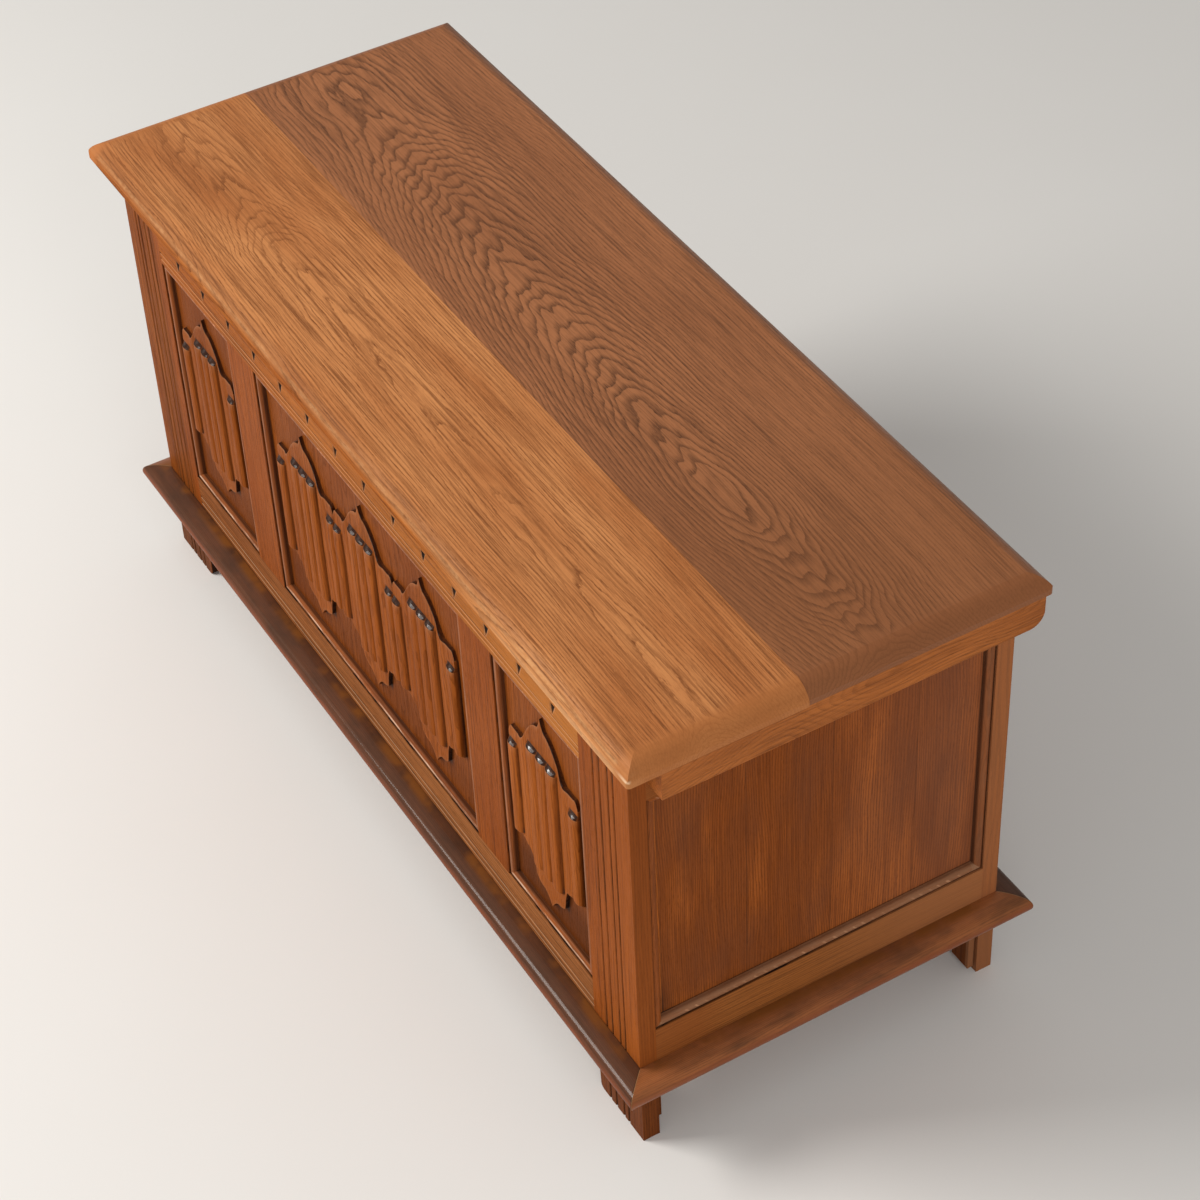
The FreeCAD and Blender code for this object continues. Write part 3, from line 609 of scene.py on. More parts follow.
def plinth_wear(finish, place, colour, roughness, relief):
    """Cloudy dark stain on top, red wood along the lower edge and a polished shoulder."""
    x, y, z = place
    past_end, past_front = x.size() - HALF_LONG, y.size() - HALF_DEEP
    out = past_end.most(past_front)
    cloud = finish.noise(x / 60.0, y / 60.0, z / 9.0, 3.0, 0.6)
    colour = finish.mix(((cloud - 0.42) * 3.2).clear() * 0.6, colour, (0.035, 0.017, 0.010))
    warm = finish.noise(x / 70.0 + 5.0, y / 70.0, z / 30.0, 3.0, 0.6).step(0.40, 0.56)
    colour = finish.mix(out.until(5.0, 14.0) * warm * 0.85, colour, (0.19, 0.062, 0.012))
    rub = (finish.noise(x / 40.0, y / 40.0, z / 5.0, 3.0) * 2.4 - 0.3).clear()
    low = z.until(*RUBBED_TOP) * rub
    colour = finish.mix(low * 0.85, colour, (0.235, 0.062, 0.022))
    mitre = (past_end - past_front).size().until(0.15, 0.55)
    colour = finish.mix(mitre * out.step(0.5, 2.0) * 0.6, colour, (0.42, 0.25, 0.11))
    shoulder = z.step(*SHOULDER_FOOT) * z.until(*SHOULDER_TOP)
    long_side = finish.material.name == "oak_plinth"
    bright = x.step(-200.0, 350.0) * 0.85 + 0.15 if long_side else 0.1
    finish.into(Coat_Weight=shoulder * bright + z.step(98.0, 104.0) * (1.0 - shoulder) * 0.15)
    return colour, roughness + cloud * 0.10, relief * (1.0 - shoulder) * 0.35


print("plinth shoulder is polished from z", SHOULDER_FOOT[0], "to", SHOULDER_TOP[1])

# %% Wear and painted light of the lid
FRONT_SLOPE = (-214.0, -202.0)
NOSE_TOP = (526.0, 531.5)
WORN_HIGHLIGHT_LINE = 533.0
LID_END = (522.0, 536.0)
MITRE = 328.5


def lid_edge_wear_and_painted_light(finish, place, colour, roughness, relief):
    """A pale line on the slope of the lid's front edge, a painted highlight on partly worn wood,
    the slope and the nose painted darker as shade, the nose painted lighter towards the right end,
    and a painted highlight on the front right corner.
    """
    x, y, z = place
    near = y.until(*FRONT_SLOPE)
    dapple = finish.noise(x / 8.0, y / 5.0, z / 5.0, 4.0, 0.65).step(0.35, 0.65)
    patchy = (finish.noise(x / 60.0, 1.0, 2.0, 2.0) * 1.8 - 0.3).clear()
    bright = x.step(180.0, 470.0)
    nose = z.until(*NOSE_TOP) * near
    # Painted shade: the slope above the nose is darker, a little less towards the right end.
    shade = z.step(527.0, 531.0) * near * (1.0 - bright * 0.35)
    colour = finish.mix(shade, colour, (0.70, 0.68, 0.66), "MULTIPLY")
    # Painted shade on the nose, fading out towards the right end.
    colour = finish.mix(nose * (1.0 - bright * 0.9), colour, (0.66, 0.48, 0.20), "MULTIPLY")
    dusk = x.until(-560.0, -120.0)
    colour = finish.mix(dusk * 0.16, colour, (0.22, 0.080, 0.030))
    # Painted highlight on partly worn wood: the pale line along the slope.
    line = (z - WORN_HIGHLIGHT_LINE).size().until(0.6, 2.8) * near * (dapple * 0.6 + 0.25) * patchy
    colour = finish.mix(line * (0.50 + bright * 0.2), colour, (0.70, 0.38, 0.17))
    # Painted light: the nose is lighter towards the right end.
    colour = finish.mix(nose * bright * 0.4, colour, (0.85, 0.48, 0.23))
    # Painted highlight: a pale spot on the front right corner.
    corner = x.step(525.0, 547.0) * (z - 528.5).size().until(0.5, 2.2) * near
    corner = corner * (x + y - MITRE).until(1.0, 5.0)
    colour = finish.mix(corner * 0.45, colour, (0.95, 0.70, 0.47))
    roughness = roughness + z.until(528.0, 534.0) * near * 0.35
    end = x.size().step(*LID_END)
    tone = finish.noise(x / 9.0, y / 60.0, z / 9.0, 3.0)
    smooth = finish.mix(tone, (0.50, 0.185, 0.058), (0.36, 0.120, 0.036))
    colour = finish.mix(end * (1.0 - corner) * 0.75, colour, smooth)
    return colour, roughness, relief * (1.0 - end)


def lid_right_shade(finish, place, colour, roughness, relief):
    """The rear board's right end, a little darker than the rest, and its smooth end edges."""
    x, y, z = place
    colour = finish.mix(x.step(140.0, 480.0) * 0.42, colour, (0.20, 0.072, 0.026))
    end = x.size().step(*LID_END)
    colour = finish.mix(end * 0.6, colour, (0.26, 0.092, 0.036))
    return colour, roughness, relief * (1.0 - end)


print("lid is worn along z", WORN_HIGHLIGHT_LINE)

# %% [markdown]
# ## The oak of each part
#
# The joiner took boards as they came: the lid's front board is light and golden, the rear one
# browner with a large arched figure, and the frame is redder. One recipe with different sizes
# therefore serves them all. The rear board's rings close round an oval eye near its right end,
# where the pith comes nearest, and every ring further along adds one arch. The tips of its arches
# were placed one by one, so the pith's depth is a list of places along the board.

# %% Tones and pith of the boards
GOLD = ((0.63, 0.262, 0.092), (0.22, 0.073, 0.023), (0.46, 0.160, 0.049))
BROWN = ((0.40, 0.152, 0.060), (0.080, 0.029, 0.013), (0.28, 0.100, 0.039))
RED = ((0.335, 0.085, 0.0135), (0.085, 0.019, 0.004), (0.225, 0.050, 0.008))
PANEL = ((0.470, 0.124, 0.020), (0.140, 0.033, 0.006), (0.265, 0.066, 0.011))
RAIL = ((0.430, 0.138, 0.024), (0.130, 0.036, 0.007), (0.310, 0.090, 0.014))
CLEAT = ((0.470, 0.145, 0.032), (0.145, 0.042, 0.011), (0.330, 0.094, 0.020))
LOW_RAIL = ((0.365, 0.133, 0.041), (0.100, 0.032, 0.010), (0.260, 0.090, 0.028))
END_RAIL = ((0.360, 0.120, 0.030), (0.130, 0.044, 0.014), (0.270, 0.088, 0.021))
FOLDED = ((0.385, 0.103, 0.0150), (0.150, 0.034, 0.004), (0.290, 0.069, 0.0085))
DARK = ((0.115, 0.040, 0.018), (0.035, 0.014, 0.008), (0.070, 0.026, 0.012))
RUSSET = ((0.36, 0.118, 0.038), (0.110, 0.038, 0.016), (0.25, 0.078, 0.027))
PLAIN = ((0.40, 0.20, 0.10), (0.20, 0.09, 0.045), (0.32, 0.15, 0.075))

REAR_DEPTH = [
    (-560, 128), (-492, 117), (-430, 120), (-372, 116), (-335, 110), (-290, 101), (-241, 92),
    (-177, 86), (-125, 81), (-76, 77), (-35, 71), (11, 65), (56, 59), (101, 53), (142, 47),
    (209, 41), (255, 37), (303, 34), (345, 37), (369, 41), (419, 47), (464, 53), (494, 59),
    (560, 70),
]
REAR_DRIFT = [
    (-560, 45), (-400, 50), (-265, 60), (-150, 44), (-30, 38), (60, 42), (150, 31), (303, 33),
    (560, 45),
]
FRONT_DEPTH = [
    (-560, 75), (-474, 69), (-421, 66), (-345, 63), (-290, 54), (-271, 51), (-192, 48),
    (-110, 45), (-16, 42), (161, 39), (307, 36), (393, 33), (560, 31),
]
print("the rear board's pith comes nearest at x", min(REAR_DEPTH, key=lambda stop: stop[1])[0])

# %% Oak finishes by the record's slots
FINE = dict(ring=1.5, waves=0.25, wander=0.2, stain=0.6, streak=0.7, shine=0.02, ease=0.4)
PLINTH = dict(ring=1.5, waves=0.4, wander=0.3, streak=0.3, dress=plinth_wear)

oak("oak_lid_rear", "x", BROWN, (33.0, 542.0), ring=3.3, depth=REAR_DEPTH, drift=REAR_DRIFT,
    wander=0.1, flecks=0.35, seed=2.0, worn=0.0, teeth=0.3, ragged=0.7, stain=0.8,
    fade=(45.0, 120.0, 0.5), dress=lid_right_shade)
oak("oak_lid_front", "x", GOLD, (-132.0, 542.0), ring=2.7, depth=FRONT_DEPTH, wander=0.4,
    waves=0.6, seed=7.0, stain=0.78, worn=0.0, streak=0.9, broken=0.45, crisp=1.0, blotch=1.0,
    flecks=0.3, shine=0.1, dress=lid_edge_wear_and_painted_light)
oak("oak_frame", "z", RED, (0.0, 90.0), seed=11.0, dress=frame_stain_and_painted_light(0.12), **FINE)
oak("oak_rails", "x", RAIL, (0.0, 60.0), seed=17.0, dress=frame_stain_and_painted_light(0.5, (0.97, 0.86, 0.70)),
    **FINE)
oak("oak_low_rail", "x", LOW_RAIL, (0.0, 60.0), seed=19.0,
    dress=frame_stain_and_painted_light(0.5, (0.80, 0.74, 0.72)), **FINE)
oak("oak_end_rails", "y", END_RAIL, (300.0, 260.0), seed=5.0, dress=frame_stain_and_painted_light(0.5), **FINE)
oak("oak_panel", "z", RED, (60.0, 900.0), boards=(-432.0, 140.0), seed=29.0, **FINE)
oak("oak_end_panel", "z_end", PANEL, (900.0, -60.0), boards=END_BOARDS, seed=29.0, ring=2.3,
    waves=0.5, wander=0.5, stain=0.9, streak=0.7, blotch=1.4, shine=0.05,
    dress=panel_stain_and_painted_light(*END_OPENING))
oak("oak_plinth", "x", DARK, (0.0, 60.0), stain=0.4, seed=37.0, gloss=0.34, shine=0.1, worn=0.1,
    ease=2.5, polish=0.12, coat=1.9, **PLINTH)
oak("oak_plinth_end", "y", RUSSET, (300.0, 60.0), stain=0.5, seed=41.0, gloss=0.3, worn=0.2,
    **PLINTH)
oak("oak_inside", "x", PLAIN, (0.0, 160.0), ring=2.6, seed=43.0, gloss=0.6)
oak("oak_cleat", "y", CLEAT, (300.0, 500.0), ring=3.0, seed=47.0, stain=0.55, wander=2.4,
    waves=1.3, blotch=1.4, shine=0.12, broken=0.6)
oak("oak_pin", "x", GOLD, (0.0, 420.0), ring=2.0, seed=53.0)

steel = Finish("screw_steel")
finishes["screw_steel"] = steel.into(
    Base_Color=(0.45, 0.44, 0.42), Metallic=1.0,
    Roughness=steel.noise(*steel.place(), 3.0) * 0.2 + 0.35)
print("finishes:", sorted(finishes))

# %% [markdown]
# The carving's stain can't go by depth alone, because the ground and the hollows of the cloth lie
# at many depths. The carved mesh therefore carries its own colour attribute: red is how much stain
# a point soaked up, and on the ground round the folds also painted shade, green how much it was
# rubbed or polished, and blue tells the ground from the cloth. Where much stain pooled on a cut end
# it dried in glossy lumps.

# %% Finish of the carving
PANEL_FOOT, ARCH_FOOT = (190.0, 260.0), (362.0, 380.0)


def carved_stain_and_painted_shade(finish, place, colour, roughness, relief):
    """Stain, painted shade, rubbed rims and ground of the carving, read from its mesh's attribute.
    """
    x, y, z = place
    soaked, rubbed, ground = finish.channels("carving")
    broken = finish.noise(x / 5.0, y / 5.0, z / 8.0, 3.0, 0.6)
    below = z.until(*PANEL_FOOT)
    left = 1.0 - x.step(150.0, 330.0) * 0.6 - x.step(-420.0, 0.0) * 0.4
    colour = finish.mix(left * 0.7, colour, (0.70, 0.66, 0.66), "MULTIPLY")
    dull = ground * (below * 0.62 + 0.35) + z.step(*ARCH_FOOT) * 0.25
    colour = finish.mix(dull, colour, (0.58, 0.55, 0.56), "MULTIPLY")
    rim = rubbed * (broken * 2.2 - 0.3).clear()
    colour = finish.mix(rim * 0.5, colour, (0.50, 0.24, 0.12))
    corner = ground * below * x.step(240.0, 300.0)
    colour = finish.mix(corner * 0.95, colour, (0.60, 0.60, 0.70), "MULTIPLY")
    # The red channel is stain, and on the ground round the folds painted shade.
    dark = (soaked * (broken * 0.5 + 0.75)).clear()
    colour = finish.mix(dark * 0.95, colour, (0.019, 0.010, 0.008))
    pooled = dark.step(0.6, 0.95) * (1.0 - ground)
    lumps = finish.noise(x / 4.5, y / 3.0, z / 4.5, 1.0) * 10.0
    finish.into(Coat_Weight=pooled * (rubbed * 0.6 + 0.08))
    return colour, roughness - dark * 0.15, relief * dark.until(0.2, 0.7) + lumps * pooled


oak("oak_carved", "z", FOLDED, (0.0, 40.0), ring=2.6, seed=23.0, stain=0.6, worn=0.0, shine=0.03,
    coat=1.9, dress=carved_stain_and_painted_shade)
print("carving takes its stain from the mesh")

# %% [markdown]
# The beads of each opening have a finish of their own, since their grain and stain follow that
# opening's corners. The other pieces share finishes: by the start of their name where one
# material slot of the record covers boards that look different, and by their slot elsewhere.

# %% Finishes put on the packed pieces
TAUPE, ORANGE = (0.30, 0.150, 0.080), (0.46, 0.200, 0.095)
GROUPS = (
    ("foot_blocks", "oak_frame"), ("rail_front_bottom", "oak_low_rail"),
    ("rail_front", "oak_rails"), ("rail_rear", "oak_rails"), ("rail_end", "oak_end_rails"),
    ("panel_end", "oak_end_panel"), ("plinth_left", "oak_plinth_end"),
    ("plinth_right", "oak_plinth_end"),
)


def bead_finish(node):
    """The finish of the four beads round one opening."""
    end = node.startswith("beads_end")
    corners = [(corner[1] if end else corner[0], corner[2]) for corner in box_mm(node)]
    stain = bead_stain_and_painted_light(*corners, end, TAUPE if end else ORANGE, 0.3 if end else 0.5)
    return oak(node, bead_run(*corners, end), RED, (300.0, 60.0), ring=1.8, seed=31.0, worn=0.0,
               shine=0.12, stain=0.4, dress=stain)


def finish_for(node, slot):
    """The finish of a packed piece: its opening's, its group's, or else its slot's."""
    if node.startswith("beads"):
        return bead_finish(node)
    groups = [name for start, name in GROUPS if node.startswith(start)]
    return finishes[groups[0] if groups else slot]


for row in frame["record"]["subparts"]:
    mesh = frame["nodes"][row["node"]].data
    mesh.materials.clear()
    mesh.materials.append(finish_for(row["node"], row["material_slot"]))

# %% [markdown]
# ## Linenfold
#
# Linenfold is a panel carved as cloth in upright folds. The carver lowers the ground round the
# fold, runs hollows and rounds with moulding planes from end to end, and then cuts the ends back
# with gouges: an ogee arch on top, a drop below, and the cut end of every round fold left as a
# small D. The end walls take the stain and the gloss of the varnish, and their front rims are
# rubbed pale.
#
# A height field on a plain square grid would blur those cut ends. Here the grid is warped instead:
# its rows follow the outline of the fold and the ends of the rounds, so that each wall lies
# between two rows that are a third of a millimetre apart, and few faces are enough.

# %% The outline of one fold
GROUND, SHEET, BACK = 8.0, 4.0, 15.0
HALF_FOLD, HALF_GAP = 62.2, 0.3
# Corners of the upper edge and of the lower edge: (distance from the middle, height, swell).
UPPER = [(0, 422.5, -1.6), (7.5, 409, 3.2), (30, 385, -2.6), (42, 373, 0), (55.2, 373, 2.4),
         (62.2, 364, 0)]
LOWER = [(0, 179, 1.5), (13, 193.5, -1.5), (26, 199.5, 0), (28.5, 213, 3.0), (38, 229, 0),
         (62.2, 234, 0)]
SHOULDER, HEM = 373.0, 229.0
# Each fold as the carver left it: middle, tip, shoulder, cut end of the middle rounds, cut end
# of the outer rolls, lower tip.
FOLDS = {
    "left": [(-352.75, 419.5, 372.0, 378.5, 351.5, 185.0)],
    "centre": [
        (-125.0, 420.0, 372.0, 375.5, 353.0, 182.0),
        (0.0, 420.0, 373.0, 378.0, 352.0, 180.0),
        (125.0, 421.5, 373.0, 376.5, 351.0, 178.0),
    ],
    "right": [(352.75, 426.0, 370.5, 376.5, 352.0, 176.7)],
}


def edge_height(a, corners):
    """Height of a fold's edge at the distance a from its middle.

    Between two corners it is the straight line plus a parabola that is nothing at both corners
    and stands off the line by the swell in the middle.
    """
    height = np.full_like(a, corners[-1][1], dtype=float)
    for (x0, z0, swell), (x1, z1, _) in zip(corners, corners[1:]):
        t = (a - x0) / (x1 - x0)
        slant = math.hypot(x1 - x0, z1 - z0) / (x1 - x0)
        curve = z0 + t * (z1 - z0) + swell * slant * 4 * t * (1 - t)
        height = np.where((a >= x0) & (a <= x1), curve, height)
    return height


print("folds:", {side: len(folds) for side, folds in FOLDS.items()})

# %% [markdown]
# Cut across, a fold has three rounds in the middle, then a groove, flat cloth, another groove
# and a rolled edge. Its two halves are alike, so the section is a function of the distance from
# the middle alone, as the outline is.

# %% The section of one fold
def ramp(a, start, end):
    """A smooth S from 0 at start to 1 at end."""
    t = np.clip((a - start) / (end - start), 0, 1)
    return t * t * (3 - 2 * t)


def cloth(a):
    """Depth of the flat cloth: level, swelling a little between the centre and the outer roll."""
    swell = np.clip((a - 27.5) / 18.0, 0, 1)
    return SHEET - 1.3 * np.sin(np.pi * swell) ** 1.5


def folded(a):
    """Depth of the folded cloth.

    Three rounds in the middle are arcs of ellipses that meet in shallow hollows. Beside them the
    cloth lies flat between two narrow grooves, and then rises in a long quarter round to the
    outer roll, whose outer side is steep.
    """
    nearest = np.round(np.clip(a, 0, 17.2) / 17.2) * 17.2
    t = np.clip(np.abs(a - nearest) / 8.9, 0, 1)
    rounds = 4.2 - 4.7 * (1 - t * t) ** 0.42
    grooves = 0.8 * np.exp(-((a - 26.6) / 0.9) ** 2) + 0.8 * np.exp(-((a - 46.2) / 0.8) ** 2)
    inner = np.clip((56.0 - a) / 10.0, 0, 1)
    outer = np.clip((a - 56.0) / 6.2, 0, 1)
    roll = np.where(a < 56.0, 4.4 - 4.4 * np.sqrt(1 - inner ** 2), 2.6 * outer ** 2.4)
    depth = np.minimum(cloth(a), np.where(a < 26.6, rounds, 9.0))
    return np.where(a > 46.0, np.minimum(roll, SHEET + 0.4), depth) + grooves


print("fold is", 2 * HALF_FOLD, "mm wide")

# %% [markdown]
# The columns of the grid stand where the section turns: close together on the rounds and at the
# outer wall, wide apart on the ground.

# %% Columns of the grid
HALF_COLUMNS = np.unique(np.concatenate([
    np.arange(0.0, 25.5, 1.15), [7.5, 13.0, 26.0, 26.6, 27.2, 28.0, 28.5],
    np.arange(30.0, 45.5, 1.5), [38.0, 45.4, 45.8, 46.2, 46.6], np.arange(47.2, 61.0, 1.3),
    [55.2, 61.3, 61.8, 62.2],
]))


def columns(left, right, middles):
    """The x of every column: dense columns on each fold, sparse ones on the ground beside it."""
    one = np.concatenate([-HALF_COLUMNS[::-1], HALF_COLUMNS[1:]])
    folds = np.concatenate([middle + one for middle in middles])
    gaps = [middles[0] - HALF_FOLD - HALF_GAP] + [m + HALF_FOLD + HALF_GAP for m in middles]
    beside = [gaps[0] - d for d in (0.9, 2.2, 5.0)] + [gaps[-1] + d for d in (0.9, 2.2, 5.0)]
    return np.unique(np.concatenate([folds, gaps, beside, [left, right]]).round(4))


print("columns on one fold:", 2 * len(HALF_COLUMNS) - 1)

# %% [markdown]
# The rows come in groups from the top edge of the panel down: ground, wall, cloth, cut ends of
# the rounds, folds, cut ends, cloth, wall, ground. One formula per row gives the height and the
# depth of all its points at once, and three numbers beside them say how much stain, rubbing and
# ground colour a point has. On the ground round the fold the stain number also paints shade.

# %% One carved panel
def carved_panel(name, node, folds):
    """A closed slab: its front is the warped grid, its back is flat and stands in the grooves."""
    low, high = box_mm(node)
    folds = np.array(folds)
    x = columns(low[0], high[0], list(folds[:, 0]))
    nearest = np.abs(x[:, None] - folds[None, :, 0]).argmin(1)
    middle, tip, shoulder, mid_cut, outer_cut, drop = folds[nearest].T
    local = x - middle
    a = np.minimum(np.abs(local), HALF_FOLD)
    outside = np.abs(local) > HALF_FOLD + 0.01
    top, bottom = edge_height(a, UPPER) - SHOULDER, edge_height(a, LOWER) - HEM
    top = shoulder + np.where(top > 0, top * (tip - shoulder) / (UPPER[0][1] - SHOULDER), top)
    bottom = HEM + np.where(bottom < 0, bottom * (drop - HEM) / (LOWER[0][1] - HEM), bottom)
    cut = mid_cut - (mid_cut - outer_cut) * ramp(a, 26.0, 41.0)
    cut = np.minimum(cut, top - 6.6)
    foot = 219.0 + 17.0 * ramp(a, 26.6, 36.0)
    sheet, fold = cloth(a), folded(a)
    relief = np.clip((sheet - fold) / 3.0, 0, 1)
    lines = (0.55 * np.exp(-((a - 26.6) / 1.0) ** 2) + 0.5 * np.exp(-((a - 46.2) / 0.9) ** 2)
             + 0.3 * np.exp(-((a - 8.6) / 0.8) ** 2))
    cove_stain_and_shade = np.exp(-((a - 27.4) / 2.6) ** 2) + 0.8 * np.exp(-((a - 9.0) / 3.0) ** 2)
    round_middle = np.where(a < 26.6, np.round(np.clip(a, 0, 17.2) / 17.2) * 17.2, 56.0)
    glint = relief * np.exp(-((local - np.sign(local) * round_middle + 2.2) / 2.0) ** 2)
    rows = []

    def row(height, depth, stain=0.0, rub=0.0, ground=0.0):
        """One row of points, each value a number for all columns or one for each."""
        rows.append([np.zeros_like(x) + value for value in (height, depth, stain, rub, ground)])

    def between(start, end, count, depth, stain=0.0, ground=0.0):
        """Rows evenly spread between two heights, without the two ends."""
        for share in np.linspace(0, 1, count + 2)[1:-1]:
            row(start + (end - start) * share, depth, stain, ground=ground)

    row(high[2], GROUND, ground=1.0)
    between(high[2], top + 3.0, 4, GROUND, ground=1.0)
    row(top + 3.0, GROUND, ground=1.0)
    # Painted shade: stain on the ground just above the top wall of the fold.
    row(top + 1.2, GROUND, 0.2, ground=1.0)
    row(top + 0.5, GROUND, 0.6, ground=1.0)
    row(top + 0.15, sheet + 0.7, 1.0)
    row(top - 0.2, sheet + 0.12, 0.1, 1.0)
    row(top - 1.0, sheet, 0.0, 0.35)
    between(top - 1.0, cut + 5.0, 4, sheet)
    hollow = sheet + 0.7 * relief
    row(cut + 5.0, sheet)
    row(cut + 3.2, sheet, relief * 0.35)
    row(cut + 2.5, hollow, relief)
    row(cut + 1.2, hollow * 0.75 + fold * 0.25 + 0.5 * relief, relief, glint)
    row(cut - 0.5, hollow * 0.35 + fold * 0.65 + 0.5 * relief, relief, glint)
    row(cut - 1.8, fold + 0.1 + 0.3 * relief, relief)
    row(cut - 2.2, fold + 0.02, lines * 0.5, relief)
    row(cut - 3.0, fold, lines, relief * 0.35)
    between(cut - 3.0, foot + 9.0, 13, fold, lines)
    row(foot + 9.0, fold, lines)
    row(foot + 5.0, fold, np.clip(lines * 1.7, 0, 1))
    row(foot + 1.1, fold, np.clip(lines * 1.9, 0, 1))
    row(foot + 0.3, fold + 0.08, lines, relief * 0.6)
    row(foot - 0.05, np.minimum(fold + 0.5, np.maximum(sheet, fold)), relief * 0.6)
    row(foot - 0.4, sheet, relief * 0.7)
    between(foot - 0.4, bottom + 0.9, 5, sheet)
    row(bottom + 0.9, sheet, 0.0, 0.2)
    row(bottom + 0.2, sheet + 0.12, cove_stain_and_shade * 0.3, 0.7)
    row(bottom - 0.15, sheet + 0.7, np.clip(cove_stain_and_shade + 0.5, 0, 1))
    # Painted shade: stain on the ground below the fold's lower wall, reaching furthest under the
    # coves.
    row(bottom - 0.5, GROUND, np.clip(cove_stain_and_shade + 0.5, 0, 1), ground=1.0)
    row(bottom - 2.5, GROUND, np.clip(cove_stain_and_shade * 0.95 + 0.2, 0, 1), ground=1.0)
    row(bottom - 5.5, GROUND, cove_stain_and_shade * 0.75, ground=1.0)
    row(bottom - 9.0, GROUND, cove_stain_and_shade * 0.3, ground=1.0)
    between(bottom - 9.0, low[2], 3, GROUND, ground=1.0)
    row(low[2], GROUND, ground=1.0)

    z, depth, stain, rub, ground = (np.array([r[i] for r in rows]) for i in range(5))
    print(name, "smallest step between rows:", round(float((z[:-1] - z[1:]).min()), 3))
    chips = 0.10 * np.sin(x / 3.7 + z / 23.0) + 0.07 * np.sin(x / 9.1 - z / 7.3)
    depth = np.where(outside, GROUND, depth)
    carved = (depth > 0.2) & (depth < GROUND - 0.2)
    depth = depth + np.where(carved, chips, 0.0)
    inside_rows = (z < top) & (z > bottom)
    beside_fold = np.abs(local) <= HALF_FOLD + 1.3
    # Painted shade: the ground just beside the fold's sides, between its top and lower edge, is
    # stained dark.
    stain = np.where(outside, np.where(beside_fold & inside_rows, 0.85, 0.0), stain)
    rub = np.where(outside, 0.0, rub)
    ground = np.where(outside, 1.0, ground)
    grid_x = np.broadcast_to(x, z.shape)
    return slab(name, node, grid_x, depth - HALF_DEEP, z, np.stack([stain, rub, ground], -1))


# %% [markdown]
# The slab's front grid becomes a closed solid by carrying its rim straight back to the plane of
# the panel's back. The faces there are hidden in the grooves of the frame, but a closed piece can
# be printed, and light can't leak through it.

# %% A grid made into a closed slab
def slab(name, node, x, y, z, paint):
    """Front grid, four side walls from its rim to the back plane, and one flat back face.

    paint holds the three channels of the carving's colour attribute for each point of the grid.
    """
    rows, cols = x.shape
    front = np.stack([x, y, z], -1).reshape(-1, 3)
    index = np.arange(rows * cols).reshape(rows, cols)
    faces = np.stack([index[:-1, :-1], index[1:, :-1], index[1:, 1:], index[:-1, 1:]], -1)
    faces = faces.reshape(-1, 4)
    rim = np.concatenate([index[0, :-1], index[:-1, -1], index[-1, :0:-1], index[:0:-1, 0]])
    behind = front[rim].copy()
    behind[:, 1] = BACK - HALF_DEEP
    far = np.arange(len(rim)) + rows * cols
    walls = np.stack([rim, np.roll(rim, -1), np.roll(far, -1), far], -1)
    mesh = bpy.data.meshes.new(name)
    everything = faces.tolist() + walls.tolist() + [far.tolist()]
    mesh.from_pydata(np.concatenate([front, behind]) * MM, [], everything)
    colours = np.zeros((len(mesh.vertices), 4), np.float32)
    colours[: rows * cols, :3] = paint.reshape(-1, 3)
    colours[rows * cols:, 2] = 1.0
    colours[:, 3] = 1.0
    layer = mesh.color_attributes.new("carving", "FLOAT_COLOR", "POINT")
    layer.data.foreach_set("color", colours.ravel())
    mesh.shade_smooth()
    mesh.set_sharp_from_angle(angle=math.radians(38))
    mesh.materials.append(finishes["oak_carved"])
    piece = bpy.data.objects.new(name, mesh)
    bpy.context.scene.collection.objects.link(piece)
    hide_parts(node)
    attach(piece, "chest")
    print(name, "faces:", len(mesh.polygons))
    return piece


for side, folds in FOLDS.items():
    carved_panel("linenfold_" + side, "panel_linenfold_" + side, folds)

# %% [markdown]
# ## Floor and light
#
# The studio is a plain pale floor under a large soft window at the left and a weak fill from the
# right, with an even pale world round it. The floor keeps the chest's shadow, and the window is
# also what the varnish mirrors in its glints.

# %% Floor and world
REACH = 8.0
floor = bpy.data.meshes.new("floor")
corners = [(-REACH, -REACH, 0), (REACH, -REACH, 0), (REACH, REACH, 0), (-REACH, REACH, 0)]
floor.from_pydata(corners, [], [(0, 1, 2, 3)])
floor_object = bpy.data.objects.new("studio_floor", floor)
bpy.context.scene.collection.objects.link(floor_object)
pale = Finish("pale_floor")
x, y, z = pale.place()
clouds = pale.noise(x / 300.0, y / 300.0, 0.0, 3.0)
pale.into(Base_Color=pale.mix(clouds, (0.78, 0.76, 0.73), (0.80, 0.785, 0.76)), Roughness=0.75)
floor.materials.append(pale.material)

world = bpy.data.worlds.new("studio")
bpy.context.scene.world = world
world.use_nodes = True
background = world.node_tree.nodes["Background"]
background.inputs["Color"].default_value = (1.0, 0.985, 0.96, 1.0)
background.inputs["Strength"].default_value = 0.4
print("floor reaches", REACH, "m each way")


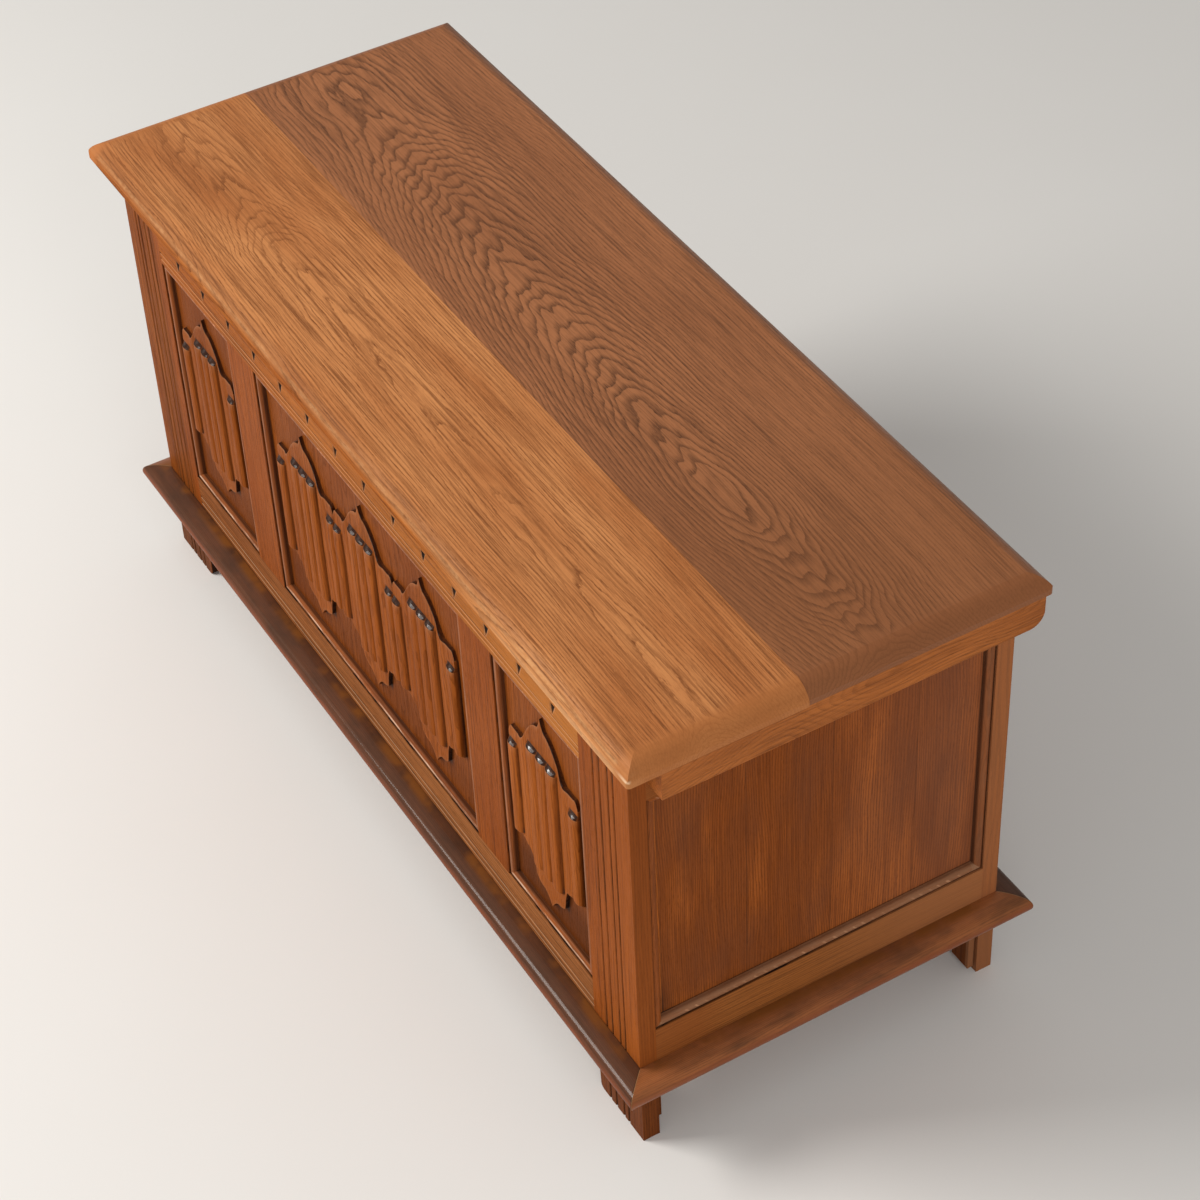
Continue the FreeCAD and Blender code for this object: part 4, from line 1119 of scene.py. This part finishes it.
# %% Lamps
def softbox(name, place, target, size, power, colour=(1.0, 1.0, 1.0)):
    """A rectangular lamp at place, facing target, in metres."""
    lamp = bpy.data.lights.new(name, "AREA")
    lamp.shape = "RECTANGLE"
    lamp.size, lamp.size_y = size
    lamp.energy = power
    lamp.color = colour
    holder = bpy.data.objects.new(name, lamp)
    holder.location = place
    holder.rotation_mode = "QUATERNION"
    holder.rotation_quaternion = (Vector(target) - Vector(place)).to_track_quat("-Z", "Y")
    bpy.context.scene.collection.objects.link(holder)
    print(name, "gives", power, "W")


softbox("window", (-1.6, -2.6, 2.6), (0.0, 0.0, 0.3), (1.8, 1.4), 125.0, (1.0, 0.98, 0.95))
softbox("fill", (2.8, -0.8, 1.8), (0.2, 0.0, 0.3), (1.6, 1.6), 26.0)

# %% [markdown]
# ## Camera
#
# The chest's own corners fix the view: the azimuth and the elevation from which it is seen, a
# small roll, the place of the lens in millimetres and its focal length in pixels of the frame.
# Three unit vectors, to the right, up and back, then make the camera's turn.

# %% Camera
AZIMUTH, ELEVATION, ROLL = 61.2703, 42.6574, -3.012
FOCAL_PIXELS, FRAME_PIXELS, SENSOR = 3033.29, 1200, 36.0
STAND = Vector((2056.13, -1063.27, 2325.56)) * MM

az, el, roll = (math.radians(angle) for angle in (AZIMUTH, ELEVATION, ROLL))
back = Vector((math.sin(az) * math.cos(el), -math.cos(az) * math.cos(el), math.sin(el)))
right = (-back).cross(Vector((0, 0, 1))).normalized()
up = right.cross(-back)
camera_x = math.cos(roll) * right + math.sin(roll) * up
camera_y = -math.sin(roll) * right + math.cos(roll) * up
camera = bpy.data.cameras.new("camera")
camera.sensor_width = SENSOR
camera.lens = FOCAL_PIXELS / FRAME_PIXELS * SENSOR
eye = bpy.data.objects.new("camera", camera)
turn = [(camera_x[i], camera_y[i], back[i], 0.0) for i in range(3)] + [(0, 0, 0, 1)]
eye.matrix_world = Matrix.Translation(STAND) @ Matrix(turn)
bpy.context.scene.collection.objects.link(eye)
bpy.context.scene.camera = eye
bpy.context.scene.view_settings.view_transform = "Standard"
print("lens of", round(camera.lens, 1), "mm at", [round(v, 2) for v in STAND], "m")
